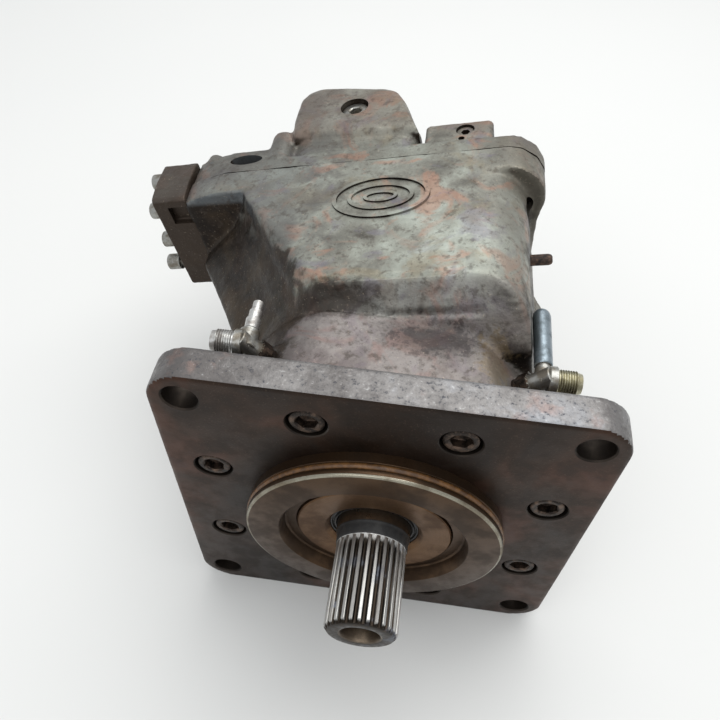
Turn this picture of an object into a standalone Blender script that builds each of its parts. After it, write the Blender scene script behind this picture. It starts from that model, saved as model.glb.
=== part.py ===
"""Variable axial piston pump with a square four-bolt mounting flange, built as separate pieces.

Lengths are written in millimetres and scaled to metres when a mesh is made.
Pump frame: the shaft axis is Y, its origin is the flange's mating face, +Y runs to the rear, +Z is up.
Body frame: the pump frame turned about the shaft, because the body is clocked against the flange.
"""

import math

import bmesh
import bpy
from mathutils import Matrix, Vector

MM = 0.001
GAP = 0.3

# Mounting flange, to SAE J744 size E with four bolts
FLANGE_SIDE = 264.0
FLANGE_CORNER = 24.0
FLANGE_THICK = 22.0
BOLT_SPACING = 224.5
BOLT_HOLE_R = 10.3
PILOT_R = 82.5
PILOT_HEIGHT = 15.5
RING_GROOVE = (-10.6, -6.4)
SEAL_SEAT_R = 50.5
CAP_SCREW_CIRCLE_R = 111.0
CAP_SCREW_COUNT = 8
BODY_CLOCK = 13.0

# Drive shaft
SPLINE_TEETH = 27
SPLINE_R = 22.3
SPLINE_ROOT_R = 20.2
SHAFT_FRONT = -75.0
SPLINE_BACK = -20.0
SHAFT_REAR = 262.0
SHAFT_R = 24.0
BEARING_SEAT_R = 31.0
REAR_JOURNAL_R = 22.0

# Front bearing
BEARING_FRONT = 24.0
BEARING_BACK = 48.0
BEARING_OUTER_R = 55.0
ROLLER_PITCH_R = 42.0
ROLLER_R = 3.7
ROLLER_COUNT = 14

# Housing
HOUSING_R = 105.0
CAVITY_R = 86.0
FRONT_FLANGE_R = 121.5
FRONT_FLANGE_BACK = 38.0
NECK_FLAT_Z = 95.0
PAD_TOP = 115.0
PAD_FRONT = 107.0
STEP_FRONT = 92.0
BODY_HALF_WIDTH = 103.0
VALVE_FACE_X = -160.0
REAR_FLANGE_FRONT = 212.0
FOOT_Z = -113.3
SEAM = 236.0
SEAT_FLOOR = 56.0

# Tee fittings beside the neck, in the pump frame
FITTING_X = 91.0
FITTING_Y = 60.0
FITTING_Z = 92.0

# Swash plate and rotating group
TILT_AXIS_Y = 118.0
RUNNING_FACE = -14.0
CRADLE_R = 58.0
CRADLE_SHELL = 3.0
PISTON_COUNT = 9
PISTON_CIRCLE_R = 56.0
PISTON_R = 12.7
BORE_R = 13.0
BALL_R = 9.0
BARREL_R = 78.0
BARREL_FRONT = 150.0
BARREL_BACK = 228.0
CONTROL_ARM = 104.0

# End cover
COVER_BACK = 252.0
SHOULDER_BACK = 265.0
TOWER_TOP = 120.0
PLUG_X = -32.0
PLUG_Y = 305.0


# Colours: base colour, roughness, metallic
FINISHES = {
    "cast_iron": ((0.20, 0.19, 0.17), 0.55, 0.6),
    "flange_steel": ((0.16, 0.12, 0.10), 0.5, 0.7),
    "machined_steel": ((0.55, 0.53, 0.50), 0.3, 1.0),
    "bronze": ((0.55, 0.38, 0.18), 0.35, 1.0),
    "dark_steel": ((0.12, 0.11, 0.11), 0.45, 0.8),
    "zinc": ((0.60, 0.60, 0.58), 0.35, 0.9),
    "rubber": ((0.02, 0.02, 0.02), 0.7, 0.0),
    "amber_rubber": ((0.60, 0.33, 0.08), 0.5, 0.0),
}


# ---------------------------------------------------------------- mesh helpers


def clear_scene():
    for obj in list(bpy.data.objects):
        bpy.data.objects.remove(obj, do_unlink=True)


def material(name):
    found = bpy.data.materials.get(name)
    if found:
        return found
    colour, roughness, metallic = FINISHES[name]
    made = bpy.data.materials.new(name)
    made.use_nodes = True
    shader = made.node_tree.nodes["Principled BSDF"]
    shader.inputs["Base Color"].default_value = (*colour, 1.0)
    shader.inputs["Roughness"].default_value = roughness
    shader.inputs["Metallic"].default_value = metallic
    return made


def mesh_object(name, bm, finish, parent):
    """One named object from a mesh in millimetres, shaded smooth on its round faces."""
    bmesh.ops.recalc_face_normals(bm, faces=bm.faces)
    bmesh.ops.scale(bm, vec=Vector((MM, MM, MM)), verts=bm.verts)
    mesh = bpy.data.meshes.new(name)
    bm.to_mesh(mesh)
    bm.free()
    mesh.shade_smooth()
    mesh.set_sharp_from_angle(angle=math.radians(35))
    mesh.materials.append(material(finish))
    obj = bpy.data.objects.new(name, mesh)
    bpy.context.scene.collection.objects.link(obj)
    obj.parent = parent
    return obj


def helper(name, bm, target, operation):
    """Joins or cuts the target with a hidden helper solid."""
    tool = mesh_object(f"{target.name}_{name}", bm, "dark_steel", target.parent)
    tool.location = target.location
    tool.hide_render = True
    tool.display_type = "WIRE"
    boolean = target.modifiers.new(name, "BOOLEAN")
    boolean.operation = operation
    boolean.object = tool


def cut(target, name, bm):
    helper(name, bm, target, "DIFFERENCE")


def join(target, name, bm):
    helper(name, bm, target, "UNION")


def circle(radius, count, start=0.0):
    turns = [start + 2 * math.pi * i / count for i in range(count)]
    return [(radius * math.cos(a), radius * math.sin(a)) for a in turns]


def hexagon(across_flats, count):
    """A hexagon's outline with count points, six of them on its corners."""
    points = []
    for i in range(count):
        turn = 2 * math.pi * i / count
        off_flat = turn % (math.pi / 3) - math.pi / 6
        reach = across_flats / 2 / math.cos(off_flat)
        points.append((reach * math.cos(turn), reach * math.sin(turn)))
    return points


def rounded_box(left, right, low, high, radius, steps=5):
    """An outline with four round corners, anticlockwise."""
    radii = radius if isinstance(radius, tuple) else (radius,) * 4
    corners = ((right, low, -90), (right, high, 0), (left, high, 90), (left, low, 180))
    points = []
    for (u, v, start), r in zip(corners, radii):
        centre_u = u - r if u == right else u + r
        centre_v = v - r if v == high else v + r
        for i in range(steps + 1):
            turn = math.radians(start + 90 * i / steps)
            points.append((centre_u + r * math.cos(turn), centre_v + r * math.sin(turn)))
    return points


def turned_outline(outline, degrees):
    """The outline turned from X towards Z."""
    c, s = math.cos(math.radians(degrees)), math.sin(math.radians(degrees))
    return [(u * c - v * s, u * s + v * c) for u, v in outline]


def loft(sections, into=None):
    """A closed solid through rings of points; a ring of one point closes to a tip."""
    bm = into or bmesh.new()
    rings = [[bm.verts.new(p) for p in section] for section in sections]
    for a, b in zip(rings, rings[1:]):
        count = max(len(a), len(b))
        for i in range(count):
            j = (i + 1) % count
            if len(a) == 1:
                bm.faces.new((a[0], b[j], b[i]))
            elif len(b) == 1:
                bm.faces.new((a[i], a[j], b[0]))
            else:
                bm.faces.new((a[i], a[j], b[j], b[i]))
    if len(rings[0]) > 1:
        bm.faces.new(rings[0][::-1])
    if len(rings[-1]) > 1:
        bm.faces.new(rings[-1])
    return bm


def extruded(outline, start, end, into=None):
    """An outline in X and Z, extruded along Y."""
    return loft([[(x, y, z) for x, z in outline] for y in (start, end)], into)


def extruded_along_x(outline, start, end, into=None):
    """An outline in Y and Z, extruded along X."""
    return loft([[(x, y, z) for y, z in outline] for x in (start, end)], into)


def extruded_along_z(outline, start, end, into=None):
    """An outline in X and Y, extruded along Z."""
    return loft([[(x, y, z) for x, y in outline] for z in (start, end)], into)


def turned(profile, count=32, into=None):
    """A solid turned about Y from (radius, y) points, both ends on the axis."""
    sections = []
    for radius, y in profile:
        ring = radius if isinstance(radius, list) else circle(radius, count)
        sections.append([(0, y, 0)] if radius == 0 else [(x, y, z) for x, z in ring])
    return loft(sections, into)


def turned_ring(profile, count=32, into=None):
    """A ring turned about Y from a closed loop of (radius, y) points."""
    bm = into or bmesh.new()
    rings = [[bm.verts.new((x, y, z)) for x, z in circle(r, count)] for r, y in profile]
    for a, b in zip(rings, rings[1:] + rings[:1]):
        for i in range(count):
            j = (i + 1) % count
            bm.faces.new((a[i], a[j], b[j], b[i]))
    return bm


def cylinder(radius, start, end, x=0.0, z=0.0, count=16, into=None):
    outline = [(x + u, z + v) for u, v in circle(radius, count)]
    return extruded(outline, start, end, into)


def rod(steps, start, direction, count=10, into=None):
    """A stepped round bar in the plane of X and Z: steps are (radius, distance) along the direction."""
    side = direction.cross(Vector((0, 1, 0)))
    sections = []
    for radius, reach in steps:
        centre = start + direction * reach
        sections.append([centre + side * u + Vector((0, v, 0)) for u, v in circle(radius, count)])
    return loft(sections, into)


def around(count, radius, start=0.0):
    """Places on a circle, in X and Z, from start degrees."""
    return circle(radius, count, math.radians(start))


def empty(name, parent=None, location=(0, 0, 0)):
    obj = bpy.data.objects.new(name, None)
    bpy.context.scene.collection.objects.link(obj)
    obj.parent = parent
    obj.location = [v * MM for v in location]
    return obj


def cap_screw(name, parent, head_r, head_h, shank_r, length, finish, count=12):
    """Socket head screw about Y: the head's seat is at 0 and the shank points to +Y."""
    socket = hexagon(head_r * 1.12, count)
    profile = [
        (0, -head_h * 0.45),
        (socket, -head_h * 0.45),
        (socket, -head_h),
        (head_r, -head_h),
        (head_r, 0),
        (shank_r, 0),
        (shank_r, length),
        (0, length),
    ]
    return mesh_object(name, turned(profile, count), finish, parent)


def place(obj, x, y, z):
    obj.location = (x * MM, y * MM, z * MM)
    return obj


# ---------------------------------------------------------------- flange and seal


def cap_screw_places(clock=0.0):
    return around(CAP_SCREW_COUNT, CAP_SCREW_CIRCLE_R, 22.5 + clock)


def make_flange(pump):
    half = FLANGE_SIDE / 2
    plate = mesh_object(
        "flange_plate",
        extruded(rounded_box(-half, half, -half, half, FLANGE_CORNER), 0, FLANGE_THICK),
        "flange_steel",
        pump,
    )
    pilot = [
        (0, -6.5),
        (58.5, -6.5),
        (61, -PILOT_HEIGHT),
        (PILOT_R - 1.5, -PILOT_HEIGHT),
        (PILOT_R, 1.5 - PILOT_HEIGHT),
        (PILOT_R, RING_GROOVE[0]),
        (PILOT_R - 3.5, RING_GROOVE[0]),
        (PILOT_R - 3.5, RING_GROOVE[1]),
        (PILOT_R, RING_GROOVE[1]),
        (PILOT_R, 4),
        (0, 4),
    ]
    join(plate, "pilot", turned(pilot, 32))
    holes = cylinder(SEAL_SEAT_R, -20, 30, count=32)
    for x in (-BOLT_SPACING / 2, BOLT_SPACING / 2):
        for z in (-BOLT_SPACING / 2, BOLT_SPACING / 2):
            cylinder(BOLT_HOLE_R, -5, 30, x, z, 14, holes)
    cut(plate, "bores", holes)
    counterbores = bmesh.new()
    for x, z in cap_screw_places():
        ring = [(x + u, z + v) for u, v in circle(12, 12)]
        inner = [(x + u, z + v) for u, v in circle(8, 12)]
        depths = ((ring, -5), (ring, 12), (inner, 12), (inner, 30))
        loft([[(u, y, v) for u, v in outline] for outline, y in depths], counterbores)
    cut(plate, "counterbores", counterbores)

    turns = [math.radians(60 * i) for i in range(6)]
    middle = sum(RING_GROOVE) / 2
    loop = [(PILOT_R - 1.2 + 2.0 * math.cos(a), middle + 2.0 * math.sin(a)) for a in turns]
    mesh_object("pilot_o_ring", turned_ring(loop, 32), "amber_rubber", pump)

    for i, (x, z) in enumerate(cap_screw_places()):
        screw = cap_screw(f"flange_screw_{i + 1}", pump, 10.4, 10.5, 7, 22, "dark_steel")
        place(screw, x, 12 - GAP, z)


def make_seal(pump):
    outer = SEAL_SEAT_R - GAP
    carrier = [(29, -5), (32, -8.5), (outer, -8.5), (outer, 14), (36, 14), (36, 4), (29, 4)]
    mesh_object("seal_carrier", turned_ring(carrier, 32), "machined_steel", pump)
    lip = SHAFT_R + GAP
    seal = [(lip, -4), (lip + 2.5, -5), (28.7, -5), (28.7, 2), (lip + 1, 2)]
    mesh_object("shaft_seal", turned_ring(seal, 24), "rubber", pump)


# ---------------------------------------------------------------- shaft and bearings


def spline_outline():
    """Straight-sided teeth: four points a tooth."""
    points = []
    pitch = 2 * math.pi / SPLINE_TEETH
    for i in range(SPLINE_TEETH):
        flank = ((-0.33, SPLINE_ROOT_R), (-0.2, SPLINE_R), (0.2, SPLINE_R), (0.33, SPLINE_ROOT_R))
        for share, radius in flank:
            turn = pitch * (i + share)
            points.append((radius * math.cos(turn), radius * math.sin(turn)))
    return points


def scaled(outline, factor):
    return [(u * factor, v * factor) for u, v in outline]


def make_shaft(pump):
    profile = [
        (0, SPLINE_BACK - 2),
        (SPLINE_ROOT_R - 1, SPLINE_BACK - 2),
        (23, SPLINE_BACK + 1),
        (23, -14),
        (SHAFT_R, -12),
        (SHAFT_R, 20),
        (BEARING_SEAT_R, 20),
        (BEARING_SEAT_R, 52),
        (25, 54),
        (25, 150),
        (26, 152),
        (26, BARREL_BACK),
        (REAR_JOURNAL_R, BARREL_BACK + 2),
        (REAR_JOURNAL_R, SHAFT_REAR),
        (0, SHAFT_REAR),
    ]
    shaft = mesh_object("drive_shaft", turned(profile, 24), "machined_steel", pump)
    teeth = spline_outline()
    rings = ((scaled(teeth, 0.88), SHAFT_FRONT), (teeth, SHAFT_FRONT + 2.6), (teeth, SPLINE_BACK))
    join(shaft, "spline", loft([[(x, y, z) for x, z in outline] for outline, y in rings]))
    centre = [(0, -90), (13, -90), (13, SHAFT_FRONT), (11.5, SHAFT_FRONT + 2), (11.5, -51), (0, -51)]
    cut(shaft, "centre_bore", turned(centre, 20))


def bulged_circle(radius, bulge, sign, per_roller=4):
    """A circle that swells round each roller: the cage and its rollers as one ring."""
    points = []
    for i in range(ROLLER_COUNT * per_roller):
        turn = 2 * math.pi * i / (ROLLER_COUNT * per_roller)
        off = (i % per_roller) / per_roller * 2 * math.pi
        reach = radius + sign * bulge * max(0.0, math.cos(off)) ** 0.7
        points.append((reach * math.cos(turn), reach * math.sin(turn)))
    return points


def make_bearings(pump):
    low, high = BEARING_FRONT, BEARING_BACK
    race = (ROLLER_PITCH_R + ROLLER_R + GAP) * 1.01
    outer = [(race, low), (BEARING_OUTER_R, low), (BEARING_OUTER_R, high), (race, high)]
    mesh_object("front_bearing_outer_ring", turned_ring(outer, 24), "machined_steel", pump)
    seat = BEARING_SEAT_R + GAP
    track = ROLLER_PITCH_R - ROLLER_R - GAP
    inner = [(seat, low), (track, low), (track, high), (seat, high)]
    mesh_object("front_bearing_inner_ring", turned_ring(inner, 24), "machined_steel", pump)
    outside = bulged_circle(ROLLER_PITCH_R + 1, ROLLER_R - 1, 1)
    inside = bulged_circle(ROLLER_PITCH_R - 1, ROLLER_R - 1, -1)
    bm = bmesh.new()
    loops = [(outside, low + 2), (outside, high - 2), (inside, high - 2), (inside, low + 2)]
    rings = [[bm.verts.new((x, y, z)) for x, z in outline] for outline, y in loops]
    for a, b in zip(rings, rings[1:] + rings[:1]):
        for i in range(len(outside)):
            j = (i + 1) % len(outside)
            bm.faces.new((a[i], a[j], b[j], b[i]))
    mesh_object("front_bearing_rollers", bm, "bronze", pump)
    rear = REAR_JOURNAL_R + GAP
    bush = [(rear, 240), (28, 240), (28, 259), (rear, 259)]
    mesh_object("rear_bearing", turned_ring(bush, 24), "machined_steel", pump)


# ---------------------------------------------------------------- housing


def saddle(inner, outer, spread, steps=10):
    """An arc band in Y and Z about the tilt axis, open to the rear."""
    turns = [math.radians(-spread + 2 * spread * i / steps) for i in range(steps + 1)]
    near = [(TILT_AXIS_Y - inner * math.cos(a), inner * math.sin(a)) for a in turns]
    far = [(TILT_AXIS_Y - outer * math.cos(a), outer * math.sin(a)) for a in turns]
    return near + far[::-1]


def seat_outline(radius):
    """The block under a cradle bearing, hollowed to the bearing's radius."""
    turns = [math.radians(-44 + 8.8 * i) for i in range(11)]
    arc = [(TILT_AXIS_Y - radius * math.cos(a), radius * math.sin(a)) for a in turns]
    return arc + [(SEAT_FLOOR - 3, arc[-1][1]), (SEAT_FLOOR - 3, arc[0][1])]


def rear_outline():
    """The joint face of housing and end cover in X and Z: four screw lugs and the valve's side."""
    left = VALVE_FACE_X
    top = [(105, -50), (BODY_HALF_WIDTH, 30), (109, 66), (115, 82), (115, 93), (110, 104)]
    top += [(99, 113), (90, PAD_TOP), (-128, PAD_TOP), (-146, 111.5), (left, 107), (left, 20)]
    lower_left = [(-126, 10), (-113, -10), (-113, -44), (-122, -62), (-126, -84), (-122, -99)]
    lower_left += [(-112, -109.5), (-96, FOOT_Z)]
    return top + lower_left + [(100, FOOT_Z), (112, -109.5), (118, -98), (118, -84)]


def upper_block():
    """The raised top of the casting, with its front ramp."""
    outline = rounded_box(-60, BODY_HALF_WIDTH, 0, PAD_TOP, (2, 34, 4, 2))
    bm = extruded(outline, STEP_FRONT - 14, SEAM - 2)
    slope = Vector((0, NECK_FLAT_Z - 2 - PAD_TOP, PAD_FRONT - STEP_FRONT)).normalized()
    trim(bm, Vector((0, PAD_FRONT, PAD_TOP)), slope)
    trim(bm, Vector((-36, 116, 0)), Vector((-91, -74, 14)).normalized())
    return bm


def left_flank():
    """The casting's left side: steep under the top's edge, then flaring out to the valve's face."""
    back, right = SEAM - 4, 10
    sections = []
    for z, near, far in (
        (PAD_TOP - 0.2, (-36, 117), (-105, 208)),
        (98, (-41, 113), (-112, 208)),
        (80, (-52, 108), (-126, 206)),
        (66, (-78, 98), (-145, 203)),
        (54, (-96, 93), (VALVE_FACE_X + 1, 200)),
        (22, (-97, 93), (VALVE_FACE_X + 1, 200)),
        (-12, (-99, 112), (-124, 206)),
    ):
        outline = (near, (right, near[1]), (right, back), (far[0], back), far)
        sections.append([(x, y, z) for x, y in outline])
    return loft(sections)


def trim(bm, point, outward):
    """Cuts away what lies outside a plane and closes the cut."""
    geometry = bm.verts[:] + bm.edges[:] + bm.faces[:]
    cut_edges = bmesh.ops.bisect_plane(
        bm, geom=geometry, plane_co=point, plane_no=outward, clear_outer=True
    )["geom_cut"]
    edges = [e for e in cut_edges if isinstance(e, bmesh.types.BMEdge)]
    bmesh.ops.contextual_create(bm, geom=edges)


def valve_screw_places():
    """Y and Z of the four screws that hold the control valve block."""
    return ((254.0, 100.0), (232.0, 88.0), (229.0, 60.0), (220.0, 42.0))


def cover_screw_places():
    return ((99.0, 83.0), (99.0, -96.0), (-100.0, -88.0), (-100.0, 83.0))


def make_housing(body):
    housing = mesh_object(
        "main_housing", cylinder(HOUSING_R, 30, SEAM - 1, count=40), "cast_iron", body
    )
    # neck flat, level with the flange
    flat = [(-90, NECK_FLAT_Z), (90, NECK_FLAT_Z), (90, 130), (-90, 130)]
    cut(housing, "neck_flat", extruded(turned_outline(flat, -BODY_CLOCK), 20, STEP_FRONT + 1))
    join(housing, "upper_block", upper_block())
    join(housing, "left_flank", left_flank())
    front = cylinder(FRONT_FLANGE_R, FLANGE_THICK + GAP, FRONT_FLANGE_BACK, count=40)
    join(housing, "front_flange", front)
    lower = rounded_box(-30, 30, -122, -60, (10, 2, 2, 10), 3)
    join(housing, "control_bulge", extruded(lower, 84, SEAM - 3))
    join(housing, "rear_flange", extruded(rear_outline(), REAR_FLANGE_FRONT, SEAM))
    badge = rounded_box(-62, 30, 158, 206, 14, 4)
    join(housing, "badge", extruded_along_z(badge, 105, PAD_TOP + 2))
    bosses = bmesh.new()
    for side in (-1, 1):
        inward = fitting_axis(side, -BODY_CLOCK)[0]
        rod(((11, -111), (11, -96)), Vector((0, FITTING_Y, 0)), inward, 14, bosses)
    join(housing, "fitting_bosses", bosses)

    cavity = [
        (0, 10),
        (BEARING_OUTER_R + GAP, 10),
        (BEARING_OUTER_R + GAP, BEARING_BACK + GAP),
        (46, BEARING_BACK + GAP),
        (46, SEAT_FLOOR),
        (CAVITY_R, SEAT_FLOOR),
        (CAVITY_R, 250),
        (0, 250),
    ]
    cut(housing, "cavity", turned(cavity, 32))
    chamber = rounded_box(-15, 15, -117, -70, 3, 2)
    cut(housing, "control_chamber", extruded(chamber, 98, 164))
    cut(housing, "control_bore", cylinder(13, 150, 224, 0, -CONTROL_ARM, 20))
    seats = bmesh.new()
    seat = seat_outline(CRADLE_R + CRADLE_SHELL + 2 * GAP)
    for low, high in ((-64, -31), (31, 64)):
        extruded_along_x(seat, low, high, seats)
    join(housing, "cradle_seats", seats)
    threads = bmesh.new()
    for x, z in cap_screw_places(-BODY_CLOCK):
        cylinder(7 + GAP, 10, 37, x, z, 12, threads)
    for x, z in cover_screw_places():
        cylinder(7 + GAP, 195, 250, x, z, 12, threads)
    for side in (-1, 1):
        inward = fitting_axis(side, -BODY_CLOCK)[0]
        rod(((7 + GAP, -120), (7 + GAP, -97)), Vector((0, FITTING_Y, 0)), inward, 12, threads)
    cut(housing, "screw_holes", threads)
    valve_holes = bmesh.new()
    for y, z in valve_screw_places()[1:]:
        outline = [(y + u, z + v) for u, v in circle(4 + GAP, 10)]
        extruded_along_x(outline, -170, -142, valve_holes)
    cut(housing, "valve_screw_holes", valve_holes)
    pin_hole = extruded_along_x([(190 + u, 47 + v) for u, v in circle(4.6, 12)], 97.5, 120)
    cut(housing, "pin_hole", pin_hole)


# ---------------------------------------------------------------- swash plate


def make_cradle(tilt):
    face, back = RUNNING_FACE, RUNNING_FACE - 14
    cradle = mesh_object("swash_cradle", cylinder(76, back, face, count=32), "machined_steel", tilt)
    turns = [math.radians(-42 + 8.4 * i) for i in range(11)]
    arc = [(-CRADLE_R * math.cos(a), CRADLE_R * math.sin(a)) for a in turns]
    rocker = arc + [(back + 2, arc[-1][1]), (back + 2, arc[0][1])]
    rockers = bmesh.new()
    for low, high in ((-62, -33), (33, 62)):
        extruded_along_x(rocker, low, high, rockers)
    join(cradle, "rockers", rockers)
    arm = [(-26, -60), (-16, -60), (-16, -77), (7, -92), (10, -CONTROL_ARM)]
    arm += [(7, -112), (-7, -112), (-10, -100)]
    join(cradle, "control_arm", extruded_along_x(arm, -9, 9))
    slot = rounded_box(-31, 31, -42, 42, 30.5, 8)
    cut(cradle, "shaft_slot", extruded(slot, back - 5, face + 5))


def make_cradle_bearings(body):
    inner = CRADLE_R + GAP
    shell = saddle(inner, inner + CRADLE_SHELL, 44)
    for name, low, high in (("left", -62, -33), ("right", 33, 62)):
        bm = extruded_along_x(shell, low, high)
        mesh_object(f"cradle_bearing_{name}", bm, "bronze", body)


def make_control_piston(body):
    start = TILT_AXIS_Y + 10 + 0.45
    radius = 13 - GAP
    profile = [(0, 0), (radius - 2, 0), (radius, 2), (radius, 62), (0, 62)]
    piston = mesh_object("control_piston", turned(profile, 20), "machined_steel", body)
    place(piston, 0, start, -CONTROL_ARM)


# ---------------------------------------------------------------- rotating group


def sphere_arc(radius, centre, first, last, steps):
    """Points of a ball's profile, from first to last degrees measured off -Y."""
    points = []
    for i in range(steps + 1):
        turn = math.radians(first + (last - first) * i / steps)
        reach = radius * math.sin(turn)
        points.append((0 if reach < 1e-6 else reach, centre - radius * math.cos(turn)))
    return points


def make_pistons(pump):
    ball = sphere_arc(BALL_R, 0, 0, 140, 4)
    piston = ball + [(5.8, 12), (PISTON_R, 13), (PISTON_R, 68), (7, 68), (7, 40), (0, 40)]
    socket = sphere_arc(BALL_R + GAP, 0, 0, 105, 3)
    front = RUNNING_FACE + GAP
    slipper = [(0, front), (15, front), (15, front + 4), (12, front + 4), (12, 2.4)]
    slipper += socket[::-1]
    for i, (x, z) in enumerate(around(PISTON_COUNT, PISTON_CIRCLE_R, 90)):
        made = mesh_object(f"piston_{i + 1}", turned(piston, 12), "machined_steel", pump)
        place(made, x, TILT_AXIS_Y, z)
        made = mesh_object(f"slipper_{i + 1}", turned(slipper, 12), "bronze", pump)
        place(made, x, TILT_AXIS_Y, z)


def make_retainer(pump):
    front = TILT_AXIS_Y + RUNNING_FACE + 4 + 2 * GAP + 0.1
    plate = turned_ring([(36, front), (73, front), (73, front + 4), (36, front + 4)], 27)
    retainer = mesh_object("retainer_plate", plate, "dark_steel", pump)
    holes = bmesh.new()
    for x, z in around(PISTON_COUNT, PISTON_CIRCLE_R, 90):
        cylinder(13.6, 100, 120, x, z, 12, holes)
    cut(retainer, "slipper_holes", holes)


def make_barrel(pump):
    bore = 26 + GAP
    profile = [
        (bore, BARREL_BACK),
        (bore, 196),
        (40, 196),
        (40, BARREL_FRONT),
        (BARREL_R - 2, BARREL_FRONT),
        (BARREL_R, BARREL_FRONT + 2),
        (BARREL_R, BARREL_BACK),
    ]
    barrel = mesh_object("cylinder_barrel", turned_ring(profile, 27), "machined_steel", pump)
    bores = bmesh.new()
    for x, z in around(PISTON_COUNT, PISTON_CIRCLE_R, 90):
        wide = [(x + u, z + v) for u, v in circle(BORE_R, 12)]
        narrow = [(x + u, z + v) for u, v in circle(6.5, 12)]
        depths = ((wide, 140), (wide, 216), (narrow, 218), (narrow, 240))
        loft([[(u, y, v) for u, v in outline] for outline, y in depths], bores)
    cut(barrel, "bores", bores)


def make_barrel_spring(pump):
    """A coil of round wire round the shaft, inside the barrel."""
    turns, per_turn, sides = 4, 12, 5
    mean_r, wire_r, start, rise = 33.5, 2.4, 156.0, 9.0
    sections = []
    for i in range(turns * per_turn + 1):
        turn = 2 * math.pi * i / per_turn
        out = Vector((math.cos(turn), 0, math.sin(turn)))
        centre = out * mean_r + Vector((0, start + rise * i / per_turn, 0))
        ring = []
        for k in range(sides):
            a = 2 * math.pi * k / sides
            ring.append(centre + wire_r * (out * math.cos(a) + Vector((0, math.sin(a), 0))))
        sections.append(ring)
    mesh_object("barrel_spring", loft(sections), "dark_steel", pump)


def kidney(radius, half_width, first, last, steps=6):
    """A curved slot's outline, between two angles in degrees."""
    turns = [math.radians(first + (last - first) * i / steps) for i in range(steps + 1)]
    far = [((radius + half_width) * math.cos(a), (radius + half_width) * math.sin(a)) for a in turns]
    near = [((radius - half_width) * math.cos(a), (radius - half_width) * math.sin(a)) for a in turns]
    return far + near[::-1]


def kidney_slots(start, end):
    slots = bmesh.new()
    extruded(kidney(PISTON_CIRCLE_R, 7, -64, 64), start, end, slots)
    extruded(kidney(PISTON_CIRCLE_R, 7, 116, 244), start, end, slots)
    return slots


def make_valve_plate(body):
    low, high = BARREL_BACK + GAP, SEAM
    profile = [(32, low), (BARREL_R, low), (BARREL_R, high), (32, high)]
    plate = mesh_object("valve_plate", turned_ring(profile, 27), "bronze", body)
    cut(plate, "kidneys", kidney_slots(low - 5, high + 5))


# ---------------------------------------------------------------- end cover


def make_end_cover(body):
    front = SEAM + GAP
    outline = extruded(rear_outline(), front, COVER_BACK)
    cover = mesh_object("end_cover", outline, "cast_iron", body)
    hub = rounded_box(-86, 22, -78, PAD_TOP - 1, (18, 16, 26, 18))
    join(cover, "hub", extruded(hub, COVER_BACK - 4, 284))
    tower = [(24, 266), (8, 314), (3, 325), (-6, 331), (-44, 341), (-69, 343)]
    tower += [(-79, 338), (-84, 328), (-84, 300), (-80, 272)]
    join(cover, "tower", extruded_along_z(tower, 36, TOWER_TOP))
    pressure = rounded_box(20.5, 104, -66, 30, 16, 4)
    join(cover, "pressure_boss", extruded(pressure, COVER_BACK - 4, 274))
    rail = [(-84, 97), (-84, 114.6), (-127, 114.6), (-146, 111), (-159.7, 106.6), (-159.7, 24)]
    rail += [(-116, 24), (-116, 97)]
    join(cover, "shoulder", extruded(rail, front + 2, SHOULDER_BACK))
    knobs = cylinder(11, 256, 285, -89.5, 106, 14)
    cylinder(6.5, 250, 258, 86.5, 104, 12, knobs)
    cylinder(7.5, 260, 268, -146, 105.5, 12, knobs)
    join(cover, "knobs", knobs)

    cut(cover, "bearing_bore", turned([(0, 230), (28 + GAP, 230), (28 + GAP, 264), (0, 264)], 28))
    cut(cover, "kidneys", kidney_slots(230, 262))
    ports = cylinder(27, 258, 300, -52, -24, 20)
    cylinder(16, 258, 300, 62, -18, 16, ports)
    cut(cover, "ports", ports)
    threads = bmesh.new()
    for x, z in suction_bolts() + pressure_bolts():
        cylinder(5.2, 262, 300, x, z, 6, threads)
    cut(cover, "port_threads", threads)
    screws = bmesh.new()
    for x, z in cover_screw_places():
        cylinder(7 + GAP, 230, 270, x, z, 12, screws)
    cut(cover, "screw_holes", screws)
    y, z = valve_screw_places()[0]
    outline = [(y + u, z + v) for u, v in circle(4 + GAP, 10)]
    cut(cover, "valve_screw_hole", extruded_along_x(outline, -170, -142))
    pocket = [(-114.5 + 13.5 * u, 252 + 6.5 * v) for u, v in circle(1, 16)]
    cut(cover, "pocket", extruded_along_z(pocket, 103, 130))
    plug_seat = [(PLUG_X + u, PLUG_Y + v) for u, v in circle(11.5, 20)]
    plug_seat = extruded_along_z(plug_seat, TOWER_TOP - 12, 130)
    cut(cover, "plug_seat", plug_seat)

    profile = [(0, 0), (11.2, 0), (11.2, 8), (hexagon(9, 18), 8), (hexagon(9, 18), 3), (0, 3)]
    bm = turned(profile, 18)
    bmesh.ops.rotate(bm, matrix=Matrix.Rotation(math.radians(90), 3, "X"), verts=bm.verts)
    place(mesh_object("tower_plug", bm, "zinc", body), PLUG_X, PLUG_Y, TOWER_TOP - 12 + GAP)
    for i, (x, z) in enumerate(cover_screw_places()):
        screw = cap_screw(f"end_cover_screw_{i + 1}", body, 10.4, 12, 7, 46, "dark_steel")
        screw.rotation_euler = (0, 0, math.pi)
        place(screw, x, COVER_BACK + GAP, z)


def suction_bolts():
    return [(-52 + dx, -24 + dz) for dx in (-25.4, 25.4) for dz in (-44.5, 44.5)]


def pressure_bolts():
    return [(62 + dx, -18 + dz) for dx in (-15.9, 15.9) for dz in (-33.3, 33.3)]


# ---------------------------------------------------------------- controls and fittings


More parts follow.
